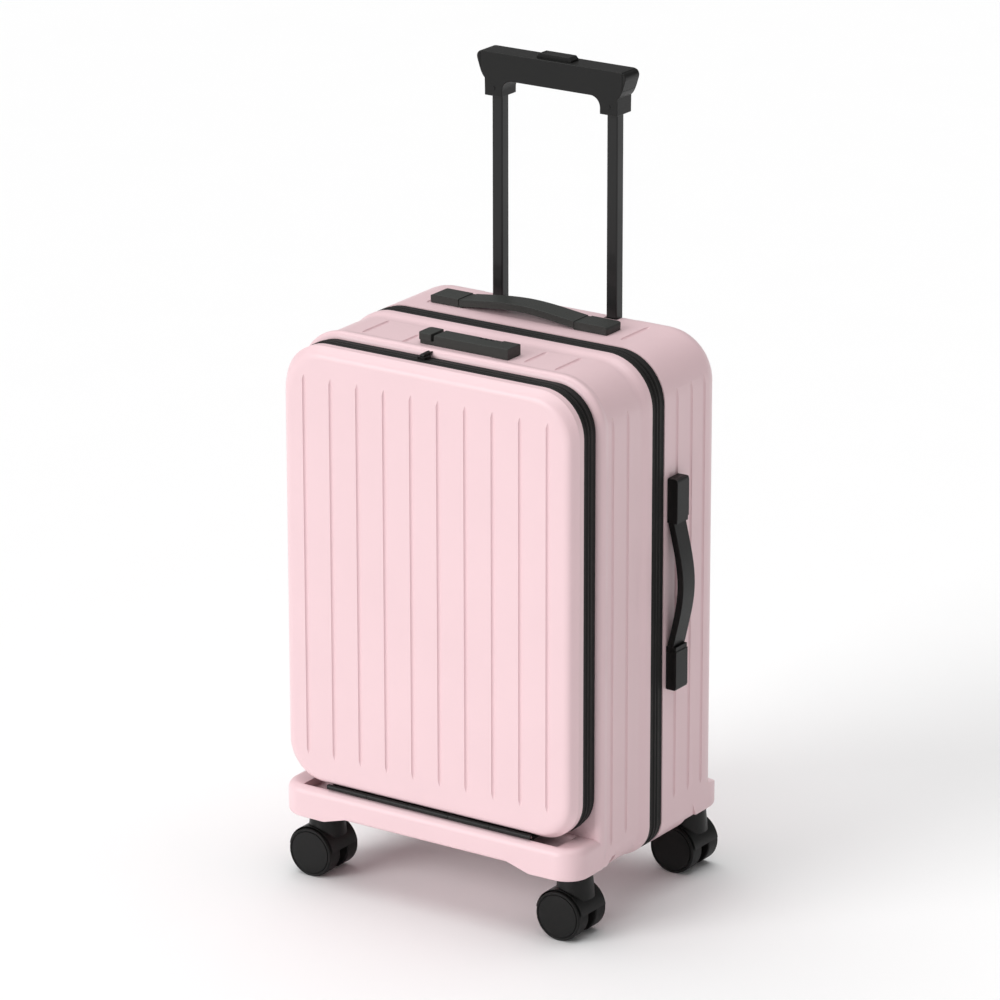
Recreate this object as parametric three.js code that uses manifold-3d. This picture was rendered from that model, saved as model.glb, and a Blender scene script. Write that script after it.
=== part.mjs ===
// A cabin-size hard shell suitcase on four twin-wheel casters: a back half and a front half that open
// like a book, a front pocket with its own lid, a two-stage trolley handle and two carry handles.
// Millimetres, +Z up. The pocket lid faces -Y and the trolley handle stands at the back, towards +Y.
import * as THREE from "three";
import { mergeVertices } from "three/addons/utils/BufferGeometryUtils.js";
import Module from "manifold-3d";

const wasm = await Module();
wasm.setup();

// ---- Driving dimensions -------------------------------------------------------------------------
const GAP = 0.3; // clearance between pieces that touch
const WALL = 3; // shell wall
const CORNER_STEPS = 6; // segments in a quarter turn of a large corner

// Case, seen from the front: outline around the main zip
const CASE_WIDTH = 350;
const HALF = CASE_WIDTH / 2;
const CASE_TOP = 562.6;
const BELLY = 55; // ground clearance between the casters
const TOP_CORNER = 50;
const BOTTOM_CORNER = 33;

// Case, seen from the side: y is 1 at the middle of the main zip
const MAIN_ZIP_WIDTH = 20.4;
const MAIN_ZIP_MIDDLE = 1;
const BACK_FACE = 116.5; // back face of the two corner columns
const BACK_RECESS = 10; // depth of the panel between the columns
const BACK_COLUMN = 80; // width of a corner column
const BACK_RECESS_HALF = HALF - BACK_COLUMN;
const BACK_RECESS_SLOPE = 8;
const BACK_RECESS_FLOOR = 112;
const BACK_EDGE = 28; // radius of the back edges
const FOOT_PROUD = 11; // how far a rear foot stands out behind the back face
const FOOT_CORNER = 26;
const FOOT_HEIGHT = 42; // from the ceiling of the wheel well to the crown of a foot
const FOOT_SLOPE = 26; // drop of the crown at the back of a foot
const FRONT_RIM = -100; // front end of the front shell, where the pocket zip starts
const RIM_INSET = 6;
const TAPE_INSET = 1; // how far a zip tape lies below the shell
const TAPE_THICKNESS = 2.6;
const POCKET_TAPE_INSET = 0.5;

// Pocket lid and its zip
const POCKET_ZIP_WIDTH = 20.6;
const LID_FACE = -139;
const LID_BOTTOM = 107;
const LID_BOTTOM_CORNER = 40;
const LID_EDGE = 5.9;
const LID_DRAFT = 5;
const LID_WALL = 2.5;

// Nose below the lid
const NOSE_FACE = -143;
const NOSE_TOP = 103;
const NOSE_BOTTOM = 77;
const NOSE_CORNER = 25;

// Casters
const WHEEL_D = 50;
const WHEEL_WIDTH = 17.6;
const WHEEL_SPREAD = 15.2; // from the middle of the fork to the middle of a wheel
const AXLE_D = 5.2;
const AXLE_CLEARANCE = 0.35;
const CASTER_TRAIL = 5;
const CASTER_INSET = 28; // from the side of the case to a swivel axis
const CASTER_X = HALF - CASTER_INSET;
const CASTER_FRONT_Y = -100;
const CASTER_BACK_Y = 106;
const TURRET_D = 36;
const HOUSING_BOTTOM = 63;
const WELL_CEILING = 70;
const WELL_WIDTH = 64;
const WELL_INNER_X = HALF - WELL_WIDTH;
const WELL_FRONT_Y = -64;
const WELL_BACK_Y = 62;

// Trolley handle
const TUBE_SPACING = 133;
const TUBE_Y = 90;
const TUBE_SIZE = 12;
const TUBE_WALL = 1;
const TUBE_SLIDE_CLEARANCE = 0.4;
const TUBE_TRAVEL = 204; // upper stage, from fully down to the place it stands in
const TUBE_OVERLAP = 58; // length of the upper tubes that stays inside the middle tubes
const OUTER_TUBE_BOTTOM = 92;
const GRIP_OVERHANG = 21.5; // from the middle of a tube to the end of the grip
const GRIP_WIDTH = TUBE_SPACING + 2 * GRIP_OVERHANG;
const GRIP_DEPTH = 25;
const GRIP_BAR = 27;
const GRIP_LEG = 20;
const GRIP_LEG_LENGTH = 17;
const BUTTON_LENGTH = 40;
const BUTTON_DEPTH = 13;
const BUTTON_PROUD = 4.6;
const BUTTON_TRAVEL = 3.5;
const ROD_D = 4;

// Carry handles
const TOP_HANDLE = { length: 206, middle: -8, width: 26, across: 45, block: 38, proud: 8.6, arch: 14.2 };
const SIDE_HANDLE = { length: 216, middle: 330, width: 21, across: 26.5, block: 45, proud: 12, arch: 19.5 };
const HANDLE_THICKNESS = 7.4;
const HANDLE_TONGUE = 3.6;
const HANDLE_LIFT = 2.6; // how far a handle pulls out of its blocks

// Lock
const LOCK = { left: -47, right: 57, front: -82, back: -60, height: 9.4 };
const LOCK_PLATE = 1.8;
const LOCK_BUTTON_LENGTH = 15.5;
const LOCK_SEAM = 3;
const LOCK_BLOCK = 19;
const DIAL_D = 8;
const DIAL_WIDTH = 3.6;
const DIAL_PITCH = 6;
const DIAL_PROUD = 1.1;

// Hinges
const HINGE_BARREL_D = 5.2;
const HINGE_PIN_D = 2.4;
const HINGE_PIN_CLEARANCE = 0.25;
const HINGE_LEAF = 1.2;
const MAIN_HINGE_BOTTOM = 130;
const MAIN_HINGE_DROP = 132.6; // from the top of the case to the end of the hinge
const MAIN_HINGE_TOP = CASE_TOP - MAIN_HINGE_DROP;
const LID_HINGE_END = 55; // from the side of the case to the end of the hinge
const LID_HINGE_HALF = HALF - LID_HINGE_END;
const BARREL_GAP = 0.5;

// Lining
const LINING_Y = 76;
const LINING_THICKNESS = 1.6;
const DIVIDER_Y = -60;
const LINING_CLEARANCE = 4;

// ---- Sizes that follow -------------------------------------------------------------------------
const MAIN_ZIP_FRONT = MAIN_ZIP_MIDDLE - MAIN_ZIP_WIDTH / 2;
const MAIN_ZIP_BACK = MAIN_ZIP_MIDDLE + MAIN_ZIP_WIDTH / 2;
const LID_RIM = FRONT_RIM - POCKET_ZIP_WIDTH - GAP;
const MIDDLE_TUBE_WALL = 0.9;
const MIDDLE_TUBE_SIZE = TUBE_SIZE + 2 * (TUBE_SLIDE_CLEARANCE + MIDDLE_TUBE_WALL);
const OUTER_TUBE_SIZE = MIDDLE_TUBE_SIZE + 2 * (TUBE_SLIDE_CLEARANCE + TUBE_WALL);
const MIDDLE_TUBE_TOP = CASE_TOP - BACK_EDGE / 3; // below the rounded back edge
const GUIDE_HEIGHT = 7;
const GUIDE_BOTTOM = CASE_TOP - 0.72 * BACK_EDGE - GUIDE_HEIGHT;
const GRIP_LEG_BOTTOM = CASE_TOP + 2 * GAP + TUBE_TRAVEL;
const GRIP_UNDERSIDE = GRIP_LEG_BOTTOM + GRIP_LEG_LENGTH;
const GRIP_TOP = GRIP_UNDERSIDE + GRIP_BAR;
const TUBE_BOTTOM = CASE_TOP - TUBE_OVERLAP;
const AXLE_Z = WHEEL_D / 2;
const MAIN_HINGE_X = -(HALF - TAPE_INSET + GAP + HINGE_BARREL_D / 2);
const LID_HINGE_Y = LID_FACE + HINGE_BARREL_D / 2 + GAP;
const LID_HINGE_Z = NOSE_TOP + HINGE_BARREL_D / 2 + 3 * GAP;
const SIDE_HANDLE_REACH = HALF + SIDE_HANDLE.arch;

// The origin is the middle of the whole outline's base.
const LEFT_REACH = Math.max(CASTER_X + CASTER_TRAIL + WHEEL_D / 2, -MAIN_HINGE_X + HINGE_BARREL_D / 2);
const BACK_REACH = Math.max(CASTER_BACK_Y + WHEEL_SPREAD + WHEEL_WIDTH / 2, BACK_FACE);
const ORIGIN_X = (SIDE_HANDLE_REACH - LEFT_REACH) / 2;
const ORIGIN_Y = (BACK_REACH + NOSE_FACE) / 2;

// ---- Materials ---------------------------------------------------------------------------------
const finish = (color, roughness, metalness = 0) =>
  new THREE.MeshStandardMaterial({ color, roughness, metalness });
const PINK = finish("#efcfd3", 0.42);
const BLACK_PLASTIC = finish("#2b2b2a", 0.5);
const GREY_PLASTIC = finish("#4a4b49", 0.5);
const ZIP_TAPE = finish("#1b1a19", 0.85);
const TUBE_METAL = finish("#343434", 0.35, 0.8);
const PIN_METAL = finish("#8c8c8e", 0.3, 1);
const LINING_CLOTH = finish("#3b3b3f", 0.95);
const WHEEL_TREAD = finish("#2f2f2f", 0.6);

// ---- Solids ------------------------------------------------------------------------------------
// A manifold-3d solid from a closed three.js geometry.
function solid(geometry) {
  const bare = geometry.index ? geometry.toNonIndexed() : geometry.clone();
  bare.deleteAttribute("normal");
  bare.deleteAttribute("uv");
  const merged = mergeVertices(bare, 1e-3);
  const mesh = new wasm.Mesh({
    numProp: 3,
    vertProperties: merged.attributes.position.array,
    triVerts: new Uint32Array(merged.index.array),
  });
  return new wasm.Manifold(mesh);
}

function namedMesh(name, shape, material) {
  const { vertProperties, triVerts } = shape.getMesh();
  const geometry = new THREE.BufferGeometry();
  geometry.setAttribute("position", new THREE.BufferAttribute(new Float32Array(vertProperties), 3));
  geometry.setIndex(new THREE.BufferAttribute(new Uint32Array(triVerts), 1));
  geometry.computeVertexNormals();
  const mesh = new THREE.Mesh(geometry, material);
  mesh.name = name;
  return mesh;
}

const box = (x0, x1, y0, y1, z0, z1) =>
  solid(
    new THREE.BoxGeometry(x1 - x0, y1 - y0, z1 - z0).translate((x0 + x1) / 2, (y0 + y1) / 2, (z0 + z1) / 2),
  );

// A cylinder along x, y or z, from one end to the other, around the line through (a, b).
function cylinder(axis, diameter, from, to, a, b, sides = 20) {
  const geometry = new THREE.CylinderGeometry(diameter / 2, diameter / 2, to - from, sides);
  const middle = (from + to) / 2;
  if (axis === "x") geometry.rotateZ(-Math.PI / 2).translate(middle, a, b);
  if (axis === "y") geometry.translate(a, middle, b);
  if (axis === "z") geometry.rotateX(Math.PI / 2).translate(a, b, middle);
  return solid(geometry);
}

const asShape = (outline) =>
  Array.isArray(outline) ? new THREE.Shape(outline.map(([a, b]) => new THREE.Vector2(a, b))) : outline;

// A flat outline of [x, z] points, or of a THREE.Shape, run from one y to another.
function plateXZ(outline, y0, y1, steps = CORNER_STEPS) {
  const shape = asShape(outline);
  const options = { depth: y1 - y0, bevelEnabled: false, curveSegments: steps };
  return solid(new THREE.ExtrudeGeometry(shape, options).rotateX(Math.PI / 2).translate(0, y1, 0));
}

// A flat outline in x and y, run from one z to another.
function plateXY(outline, z0, z1, steps = CORNER_STEPS) {
  const shape = asShape(outline);
  const options = { depth: z1 - z0, bevelEnabled: false, curveSegments: steps };
  return solid(new THREE.ExtrudeGeometry(shape, options).translate(0, 0, z0));
}

const joined = (first, ...rest) => rest.reduce((sum, piece) => sum.add(piece), first);
const cut = (first, ...rest) => rest.reduce((left, piece) => left.subtract(piece), first);

// ---- The case outline --------------------------------------------------------------------------
const OUTLINE = { half: HALF, top: CASE_TOP, bottom: BELLY, topCorner: TOP_CORNER, bottomCorner: BOTTOM_CORNER };
const LID_OUTLINE = {
  half: HALF - RIM_INSET,
  top: CASE_TOP - RIM_INSET,
  bottom: LID_BOTTOM,
  topCorner: TOP_CORNER - RIM_INSET,
  bottomCorner: LID_BOTTOM_CORNER,
};

function inset(outline, by) {
  return {
    half: outline.half - by,
    top: outline.top - by,
    bottom: outline.bottom + by,
    topCorner: Math.max(outline.topCorner - by, 1),
    bottomCorner: Math.max(outline.bottomCorner - by, 1),
  };
}

// The outline's points at one y, counterclockwise seen from the front.
function ring(outline, y) {
  const { half, top, bottom, topCorner, bottomCorner } = outline;
  const corners = [
    [half - topCorner, top - topCorner, topCorner],
    [topCorner - half, top - topCorner, topCorner],
    [bottomCorner - half, bottom + bottomCorner, bottomCorner],
    [half - bottomCorner, bottom + bottomCorner, bottomCorner],
  ];
  const points = [];
  corners.forEach(([x, z, radius], quarter) => {
    for (let step = 0; step <= CORNER_STEPS; step++) {
      const angle = ((quarter + step / CORNER_STEPS) * Math.PI) / 2;
      points.push([x + radius * Math.cos(angle), y, z + radius * Math.sin(angle)]);
    }
  });
  return points;
}

// A solid through rings, from the front to the back, closed by a fan at each end.
function loft(stations) {
  const rings = stations.map(([y, outline]) => ring(outline, y));
  const count = rings[0].length;
  const points = rings.flat();
  const faces = [];
  for (let r = 0; r + 1 < rings.length; r++)
    for (let i = 0; i < count; i++) {
      const j = (i + 1) % count;
      const [a, b, c, d] = [r * count + i, r * count + j, (r + 1) * count + j, (r + 1) * count + i];
      faces.push(a, c, b, a, d, c);
    }
  const last = (rings.length - 1) * count;
  for (let i = 1; i + 1 < count; i++) faces.push(0, i, i + 1, last, last + i + 1, last + i);
  const geometry = new THREE.BufferGeometry();
  geometry.setAttribute("position", new THREE.Float32BufferAttribute(points.flat(), 3));
  geometry.setIndex(faces);
  return solid(geometry);
}

// A tape: a band of the outline, open at the front and back.
function band(outline, y0, y1) {
  const hole = inset(outline, TAPE_THICKNESS);
  return cut(
    loft([[y0, outline], [y1, outline]]),
    loft([[y0 - 1, hole], [y1 + 1, hole]]),
  );
}

// ---- Wheel wells -------------------------------------------------------------------------------
// The room that the four casters take out of the shell's lower corners, grown by a wall for the inside.
function wells(front, wall = 0) {
  const inner = WELL_INNER_X - wall;
  const ceiling = WELL_CEILING + wall;
  const edge = front ? WELL_FRONT_Y + wall : WELL_BACK_Y - wall;
  const far = front ? NOSE_FACE - WALL : BACK_FACE + WALL;
  const [y0, y1] = front ? [far, edge] : [edge, far];
  const outside = HALF + WALL;
  return joined(
    box(inner, outside, y0, y1, BELLY - WALL, ceiling),
    box(-outside, -inner, y0, y1, BELLY - WALL, ceiling),
  );
}

// ---- Back half ---------------------------------------------------------------------------------
// The back shell's form at a given wall depth: two corner columns with a recessed panel between them.
function backForm(wall, mouth) {
  const outline = inset(OUTLINE, wall);
  const edge = BACK_EDGE - wall;
  const rounded = (face) => {
    const stations = [[mouth, outline]];
    for (let step = 0; step <= CORNER_STEPS; step++) {
      const angle = (step / CORNER_STEPS) * (Math.PI / 2);
      stations.push([face - edge + edge * Math.sin(angle), inset(outline, edge * (1 - Math.cos(angle)))]);
    }
    return loft(stations);
  };
  const recess = plateXY(
    [
      [-BACK_RECESS_HALF - wall, 0],
      [BACK_RECESS_HALF + wall, 0],
      [BACK_RECESS_HALF + wall, BACK_FACE - BACK_RECESS - wall],
      [BACK_RECESS_HALF + wall + 2 * BACK_RECESS_SLOPE, BACK_FACE + BACK_RECESS - wall],
      [-BACK_RECESS_HALF - wall - 2 * BACK_RECESS_SLOPE, BACK_FACE + BACK_RECESS - wall],
      [-BACK_RECESS_HALF - wall, BACK_FACE - BACK_RECESS - wall],
    ],
    BACK_RECESS_FLOOR - wall,
    CASE_TOP + WALL,
  );
  const panel = rounded(BACK_FACE - BACK_RECESS - wall);
  return cut(rounded(BACK_FACE - wall), cut(recess, panel));
}

// The two rear feet at a given wall depth: they carry the casters that stand behind the back face.
function backFeet(wall) {
  const edge = FOOT_CORNER - wall;
  const start = BACK_FACE + FOOT_PROUD - FOOT_CORNER;
  const station = (turn) => {
    const by = wall + edge * (1 - Math.cos(turn));
    const crown = WELL_CEILING + FOOT_HEIGHT - FOOT_SLOPE * Math.sin(turn) ** 3 - wall;
    return { half: HALF - by, top: crown, bottom: WELL_CEILING + wall, topCorner: 4, bottomCorner: 2 };
  };
  const stations = [[WELL_BACK_Y + wall, station(0)]];
  for (let step = 0; step <= CORNER_STEPS; step++) {
    const turn = (step / CORNER_STEPS) * (Math.PI / 2);
    stations.push([start + edge * Math.sin(turn), station(turn)]);
  }
  const inner = WELL_INNER_X + wall;
  const middle = box(-inner, inner, WELL_BACK_Y - 1, start + FOOT_CORNER + 1, BELLY, WELL_CEILING + FOOT_HEIGHT + 1);
  return cut(loft(stations), middle);
}

function backShell() {
  const mouth = MAIN_ZIP_BACK + GAP;
  const hole = MIDDLE_TUBE_SIZE / 2 + TUBE_SLIDE_CLEARANCE;
  const tubeHoles = [-1, 1].map((side) => {
    const x = (side * TUBE_SPACING) / 2;
    return box(x - hole, x + hole, TUBE_Y - hole, TUBE_Y + hole, CASE_TOP - BACK_EDGE, CASE_TOP + 1);
  });
  const outside = joined(cut(backForm(0, mouth), wells(false)), backFeet(0));
  const inside = joined(cut(backForm(WALL, mouth - 1), wells(false, WALL)), backFeet(WALL));
  return cut(outside, inside, ...tubeHoles);
}

function backLining() {
  const outline = inset(OUTLINE, WALL + LINING_CLEARANCE);
  return cut(
    loft([[LINING_Y, outline], [LINING_Y + LINING_THICKNESS, outline]]),
    wells(false, WALL + LINING_CLEARANCE),
  );
}

// ---- Front half --------------------------------------------------------------------------------
function noseOutline(by) {
  const half = HALF - by;
  const face = NOSE_FACE + by;
  const radius = NOSE_CORNER - by;
  const shape = new THREE.Shape();
  shape.moveTo(-half, FRONT_RIM + RIM_INSET);
  shape.lineTo(-half, face + radius);
  shape.absarc(radius - half, face + radius, radius, Math.PI, 1.5 * Math.PI, false);
  shape.lineTo(half - radius, face);
  shape.absarc(half - radius, face + radius, radius, 1.5 * Math.PI, 2 * Math.PI, false);
  shape.lineTo(half, FRONT_RIM + RIM_INSET);
  return shape;
}

function frontShell() {
  const back = MAIN_ZIP_FRONT - GAP;
  const flange = {
    half: LID_OUTLINE.half - RIM_INSET,
    top: LID_OUTLINE.top - RIM_INSET,
    bottom: LID_BOTTOM + TAPE_THICKNESS + WALL,
    topCorner: TOP_CORNER - 2 * RIM_INSET,
    bottomCorner: LID_BOTTOM_CORNER - RIM_INSET,
  };
  const body = loft([
    [FRONT_RIM, inset(OUTLINE, RIM_INSET)],
    [FRONT_RIM + 0.3 * RIM_INSET, inset(OUTLINE, 0.3 * RIM_INSET)],
    [FRONT_RIM + RIM_INSET, OUTLINE],
    [back, OUTLINE],
  ]);
  const hollow = loft([[FRONT_RIM + WALL, inset(OUTLINE, RIM_INSET + WALL)], [back + 1, inset(OUTLINE, WALL)]]);
  const mouth = loft([[FRONT_RIM - 1, flange], [FRONT_RIM + 2 * WALL, flange]]);
  const nose = plateXY(noseOutline(0), WELL_CEILING, NOSE_TOP);
  const archHalf = WELL_INNER_X;
  const noseArch = box(-archHalf, archHalf, NOSE_FACE - 1, FRONT_RIM, WELL_CEILING - 1, NOSE_BOTTOM);
  const noseHollow = cut(
    plateXY(noseOutline(WALL), WELL_CEILING + WALL, NOSE_TOP - WALL),
    box(-archHalf - WALL, archHalf + WALL, NOSE_FACE, FRONT_RIM - 1, WELL_CEILING, NOSE_BOTTOM + WALL),
  );
  const passage = cut(
    box(WALL - HALF, HALF - WALL, FRONT_RIM - 2, FRONT_RIM + 3 * WALL, WELL_CEILING + WALL, NOSE_TOP - WALL),
    box(-archHalf - WALL, archHalf + WALL, FRONT_RIM - 2, FRONT_RIM, WELL_CEILING, NOSE_BOTTOM + WALL),
  );
  const outside = cut(joined(body, cut(nose, noseArch)), wells(true));
  return cut(outside, cut(hollow, wells(true, WALL)), mouth, noseHollow, passage);
}

function pocketDivider() {
  const outline = inset(OUTLINE, WALL + LINING_CLEARANCE);
  return cut(
    loft([[DIVIDER_Y, outline], [DIVIDER_Y + LINING_THICKNESS, outline]]),
    wells(true, WALL + LINING_CLEARANCE),
  );
}

function lidShell() {
  const form = (wall, rim) => {
    const outline = inset(LID_OUTLINE, wall);
    const edge = LID_EDGE - wall;
    return loft([
      [LID_FACE + wall, inset(outline, LID_DRAFT + edge)],
      [LID_FACE + wall + 0.3 * edge, inset(outline, LID_DRAFT + 0.3 * edge)],
      [LID_FACE + wall + edge, inset(outline, LID_DRAFT)],
      [rim, outline],
    ]);
  };
  return cut(form(0, LID_RIM), form(LID_WALL, LID_RIM + 1));
}

// ---- Hinges ------------------------------------------------------------------------------------
// The barrels of one hinge leaf: every second length of the run, so that two leaves interlock.
function barrelSpans(from, to, count, first) {
  const length = (to - from) / count;
  const spans = [];
  for (let i = first; i < count; i += 2)
    spans.push([from + i * length + BARREL_GAP / 2, from + (i + 1) * length - BARREL_GAP / 2]);
  return spans;
}

const HINGE_BARRELS = 5;
const hingeHole = HINGE_PIN_D + 2 * HINGE_PIN_CLEARANCE;
const LEAF_SETBACK = HINGE_BARREL_D / 2 + 2 * GAP;

// side is 1 for the back shell's leaf, -1 for the front shell's.
function mainHingeLeaf(side) {
  const outer = -(HALF - TAPE_INSET + GAP + HINGE_LEAF);
  const inner = outer + HINGE_LEAF;
  const edge = MAIN_ZIP_MIDDLE + side * (MAIN_ZIP_WIDTH / 2 - GAP);
  const near = MAIN_ZIP_MIDDLE + side * LEAF_SETBACK;
  const middle = MAIN_ZIP_MIDDLE + side * HINGE_PIN_D;
  const strip = (a, b, z0, z1) => box(outer, inner, Math.min(a, b), Math.max(a, b), z0, z1);
  const spans = barrelSpans(MAIN_HINGE_BOTTOM, MAIN_HINGE_TOP, HINGE_BARRELS, side > 0 ? 0 : 1);
  let leaf = strip(near, edge, MAIN_HINGE_BOTTOM, MAIN_HINGE_TOP);
  for (const [z0, z1] of spans) {
    leaf = joined(
      leaf,
      strip(middle - side, near + side, z0, z1),
      cylinder("z", HINGE_BARREL_D, z0, z1, MAIN_HINGE_X, MAIN_ZIP_MIDDLE, 14),
    );
  }
  const bore = cylinder("z", hingeHole, MAIN_HINGE_BOTTOM - 1, MAIN_HINGE_TOP + 1, MAIN_HINGE_X, MAIN_ZIP_MIDDLE, 12);
  return cut(leaf, bore);
}

// The lid's leaf lies under the lid, the nose's leaf on the nose.
function lidHingeLeaf(onLid) {
  const bottom = NOSE_TOP + GAP + (onLid ? HINGE_LEAF + GAP : 0);
  const top = bottom + HINGE_LEAF;
  const near = LID_HINGE_Y + LEAF_SETBACK;
  const strip = (y0, y1, x0, x1) => box(x0, x1, y0, y1, bottom, top);
  const spans = barrelSpans(-LID_HINGE_HALF, LID_HINGE_HALF, HINGE_BARRELS, onLid ? 0 : 1);
  let leaf = strip(near, LID_RIM - GAP, -LID_HINGE_HALF, LID_HINGE_HALF);
  for (const [x0, x1] of spans) {
    leaf = joined(
      leaf,
      strip(LID_HINGE_Y, near + 1, x0, x1),
      cylinder("x", HINGE_BARREL_D, x0, x1, LID_HINGE_Y, LID_HINGE_Z, 14),
    );
  }
  return cut(leaf, cylinder("x", hingeHole, -LID_HINGE_HALF - 1, LID_HINGE_HALF + 1, LID_HINGE_Y, LID_HINGE_Z, 12));
}

// ---- Trolley handle ----------------------------------------------------------------------------
function squareTube(x, outer, wall, z0, z1) {
  const out = outer / 2;
  const bore = out - wall;
  return cut(
    box(x - out, x + out, TUBE_Y - out, TUBE_Y + out, z0, z1),
    box(x - bore, x + bore, TUBE_Y - bore, TUBE_Y + bore, z0 - 1, z1 + 1),
  );
}

function trolleyPlate(z0, z1, hole) {
  const half = TUBE_SPACING / 2 + OUTER_TUBE_SIZE;
  const deep = OUTER_TUBE_SIZE / 2 + 2;
  const holes = [-1, 1].map((side) => {
    const x = (side * TUBE_SPACING) / 2;
    return box(x - hole / 2, x + hole / 2, TUBE_Y - hole / 2, TUBE_Y + hole / 2, z0 - 1, z1 + 1);
  });
  return cut(box(-half, half, TUBE_Y - deep, TUBE_Y + deep, z0, z1), ...holes);
}

// The grip's outline, seen from the front: a bar with a leg that narrows towards each tube.
function gripOutline() {
  const end = GRIP_WIDTH / 2;
  const legOut = TUBE_SPACING / 2 + GRIP_LEG / 2;
  const legIn = TUBE_SPACING / 2 - GRIP_LEG / 2;
  const round = 8;
  const shape = new THREE.Shape();
  shape.moveTo(-legOut, GRIP_LEG_BOTTOM);
  shape.lineTo(-legIn, GRIP_LEG_BOTTOM);
  shape.lineTo(-legIn, GRIP_UNDERSIDE - round);
  shape.quadraticCurveTo(-legIn, GRIP_UNDERSIDE, round - legIn, GRIP_UNDERSIDE);
  shape.lineTo(legIn - round, GRIP_UNDERSIDE);
  shape.quadraticCurveTo(legIn, GRIP_UNDERSIDE, legIn, GRIP_UNDERSIDE - round);
  shape.lineTo(legIn, GRIP_LEG_BOTTOM);
  shape.lineTo(legOut, GRIP_LEG_BOTTOM);
  shape.quadraticCurveTo(legOut + 2, GRIP_UNDERSIDE, end, GRIP_TOP - round);
  shape.quadraticCurveTo(end, GRIP_TOP, end - round, GRIP_TOP);
  shape.lineTo(round - end, GRIP_TOP);
  shape.quadraticCurveTo(-end, GRIP_TOP, -end, GRIP_TOP - round);
  shape.quadraticCurveTo(-legOut - 2, GRIP_UNDERSIDE, -legOut, GRIP_LEG_BOTTOM);
  return shape;
}

const TUBE_TOP = GRIP_UNDERSIDE + 4; // how far a tube reaches up into the grip
const YOKE_HEIGHT = 5;
const YOKE_TOP = GRIP_TOP - 8;
const YOKE_DEPTH = 7;

function trolleyGrip() {
  const socket = TUBE_SIZE / 2 + GAP;
  const spacing = TUBE_SPACING / 2;
  const slot = GAP + 0.1;
  const bar = plateXZ(gripOutline(), TUBE_Y - GRIP_DEPTH / 2, TUBE_Y + GRIP_DEPTH / 2, 5);
  const sockets = [-1, 1].map((side) =>
    box(side * spacing - socket, side * spacing + socket, TUBE_Y - socket, TUBE_Y + socket, GRIP_LEG_BOTTOM - 1, TUBE_TOP + GAP),
  );
  const wide = ROD_D / 2 + 1;
  const rodHoles = [-1, 1].map((side) =>
    box(side * spacing - wide, side * spacing + wide, TUBE_Y - wide, TUBE_Y + wide, TUBE_TOP, YOKE_TOP),
  );
  const channel = box(
    -spacing - wide - 1,
    spacing + wide + 1,
    TUBE_Y - YOKE_DEPTH / 2 - slot,
    TUBE_Y + YOKE_DEPTH / 2 + slot,
    YOKE_TOP - YOKE_HEIGHT - BUTTON_TRAVEL - 2 * GAP,
    YOKE_TOP + GAP,
  );
  const buttonSlot = box(
    -BUTTON_LENGTH / 2 - slot,
    BUTTON_LENGTH / 2 + slot,
    TUBE_Y - BUTTON_DEPTH / 2 - slot,
    TUBE_Y + BUTTON_DEPTH / 2 + slot,
    YOKE_TOP - BUTTON_TRAVEL,
    GRIP_TOP + 1,
  );
  return cut(bar, ...sockets, ...rodHoles, channel, buttonSlot);
}

function releaseButton() {
  return box(
    -BUTTON_LENGTH / 2,
    BUTTON_LENGTH / 2,
    TUBE_Y - BUTTON_DEPTH / 2,
    TUBE_Y + BUTTON_DEPTH / 2,
    YOKE_TOP + GAP,
    GRIP_TOP + BUTTON_PROUD,
  );
}

function releaseYoke() {
  const spacing = TUBE_SPACING / 2;
  const rods = [-1, 1].map((side) =>
    cylinder("z", ROD_D, TUBE_BOTTOM + 4, YOKE_TOP - 1, side * spacing, TUBE_Y, 10),
  );
  const bar = box(
    -spacing - ROD_D / 2,
    spacing + ROD_D / 2,
    TUBE_Y - YOKE_DEPTH / 2,
    TUBE_Y + YOKE_DEPTH / 2,
    YOKE_TOP - YOKE_HEIGHT,
    YOKE_TOP,
  );
  return joined(bar, ...rods);
}

// ---- Carry handles -----------------------------------------------------------------------------
// Both are made lying along x with the case face at z = 0, centred, and are then put in place.
function handleBlock(size, side) {
  const outer = size.length / 2;
  const inner = outer - size.block;
  const chamfer = 3;
  const outline = [
    [inner, GAP],
    [outer, GAP],
    [outer, size.proud - chamfer],
    [outer - chamfer, size.proud],
    [inner, size.proud],
  ].map(([x, z]) => [side * x, z]);
  const block = plateXZ(side > 0 ? outline : outline.reverse(), -size.width / 2, size.width / 2);
  const slotHalf = size.width / 2 - 3;
  const reach = size.block - 6;
  const from = Math.min(side * (inner - 1), side * (inner + reach));
  const to = Math.max(side * (inner - 1), side * (inner + reach));
  return cut(block, box(from, to, -slotHalf, slotHalf, 1.2, 1.2 + HANDLE_TONGUE + HANDLE_LIFT + 2 * GAP));
}

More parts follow.
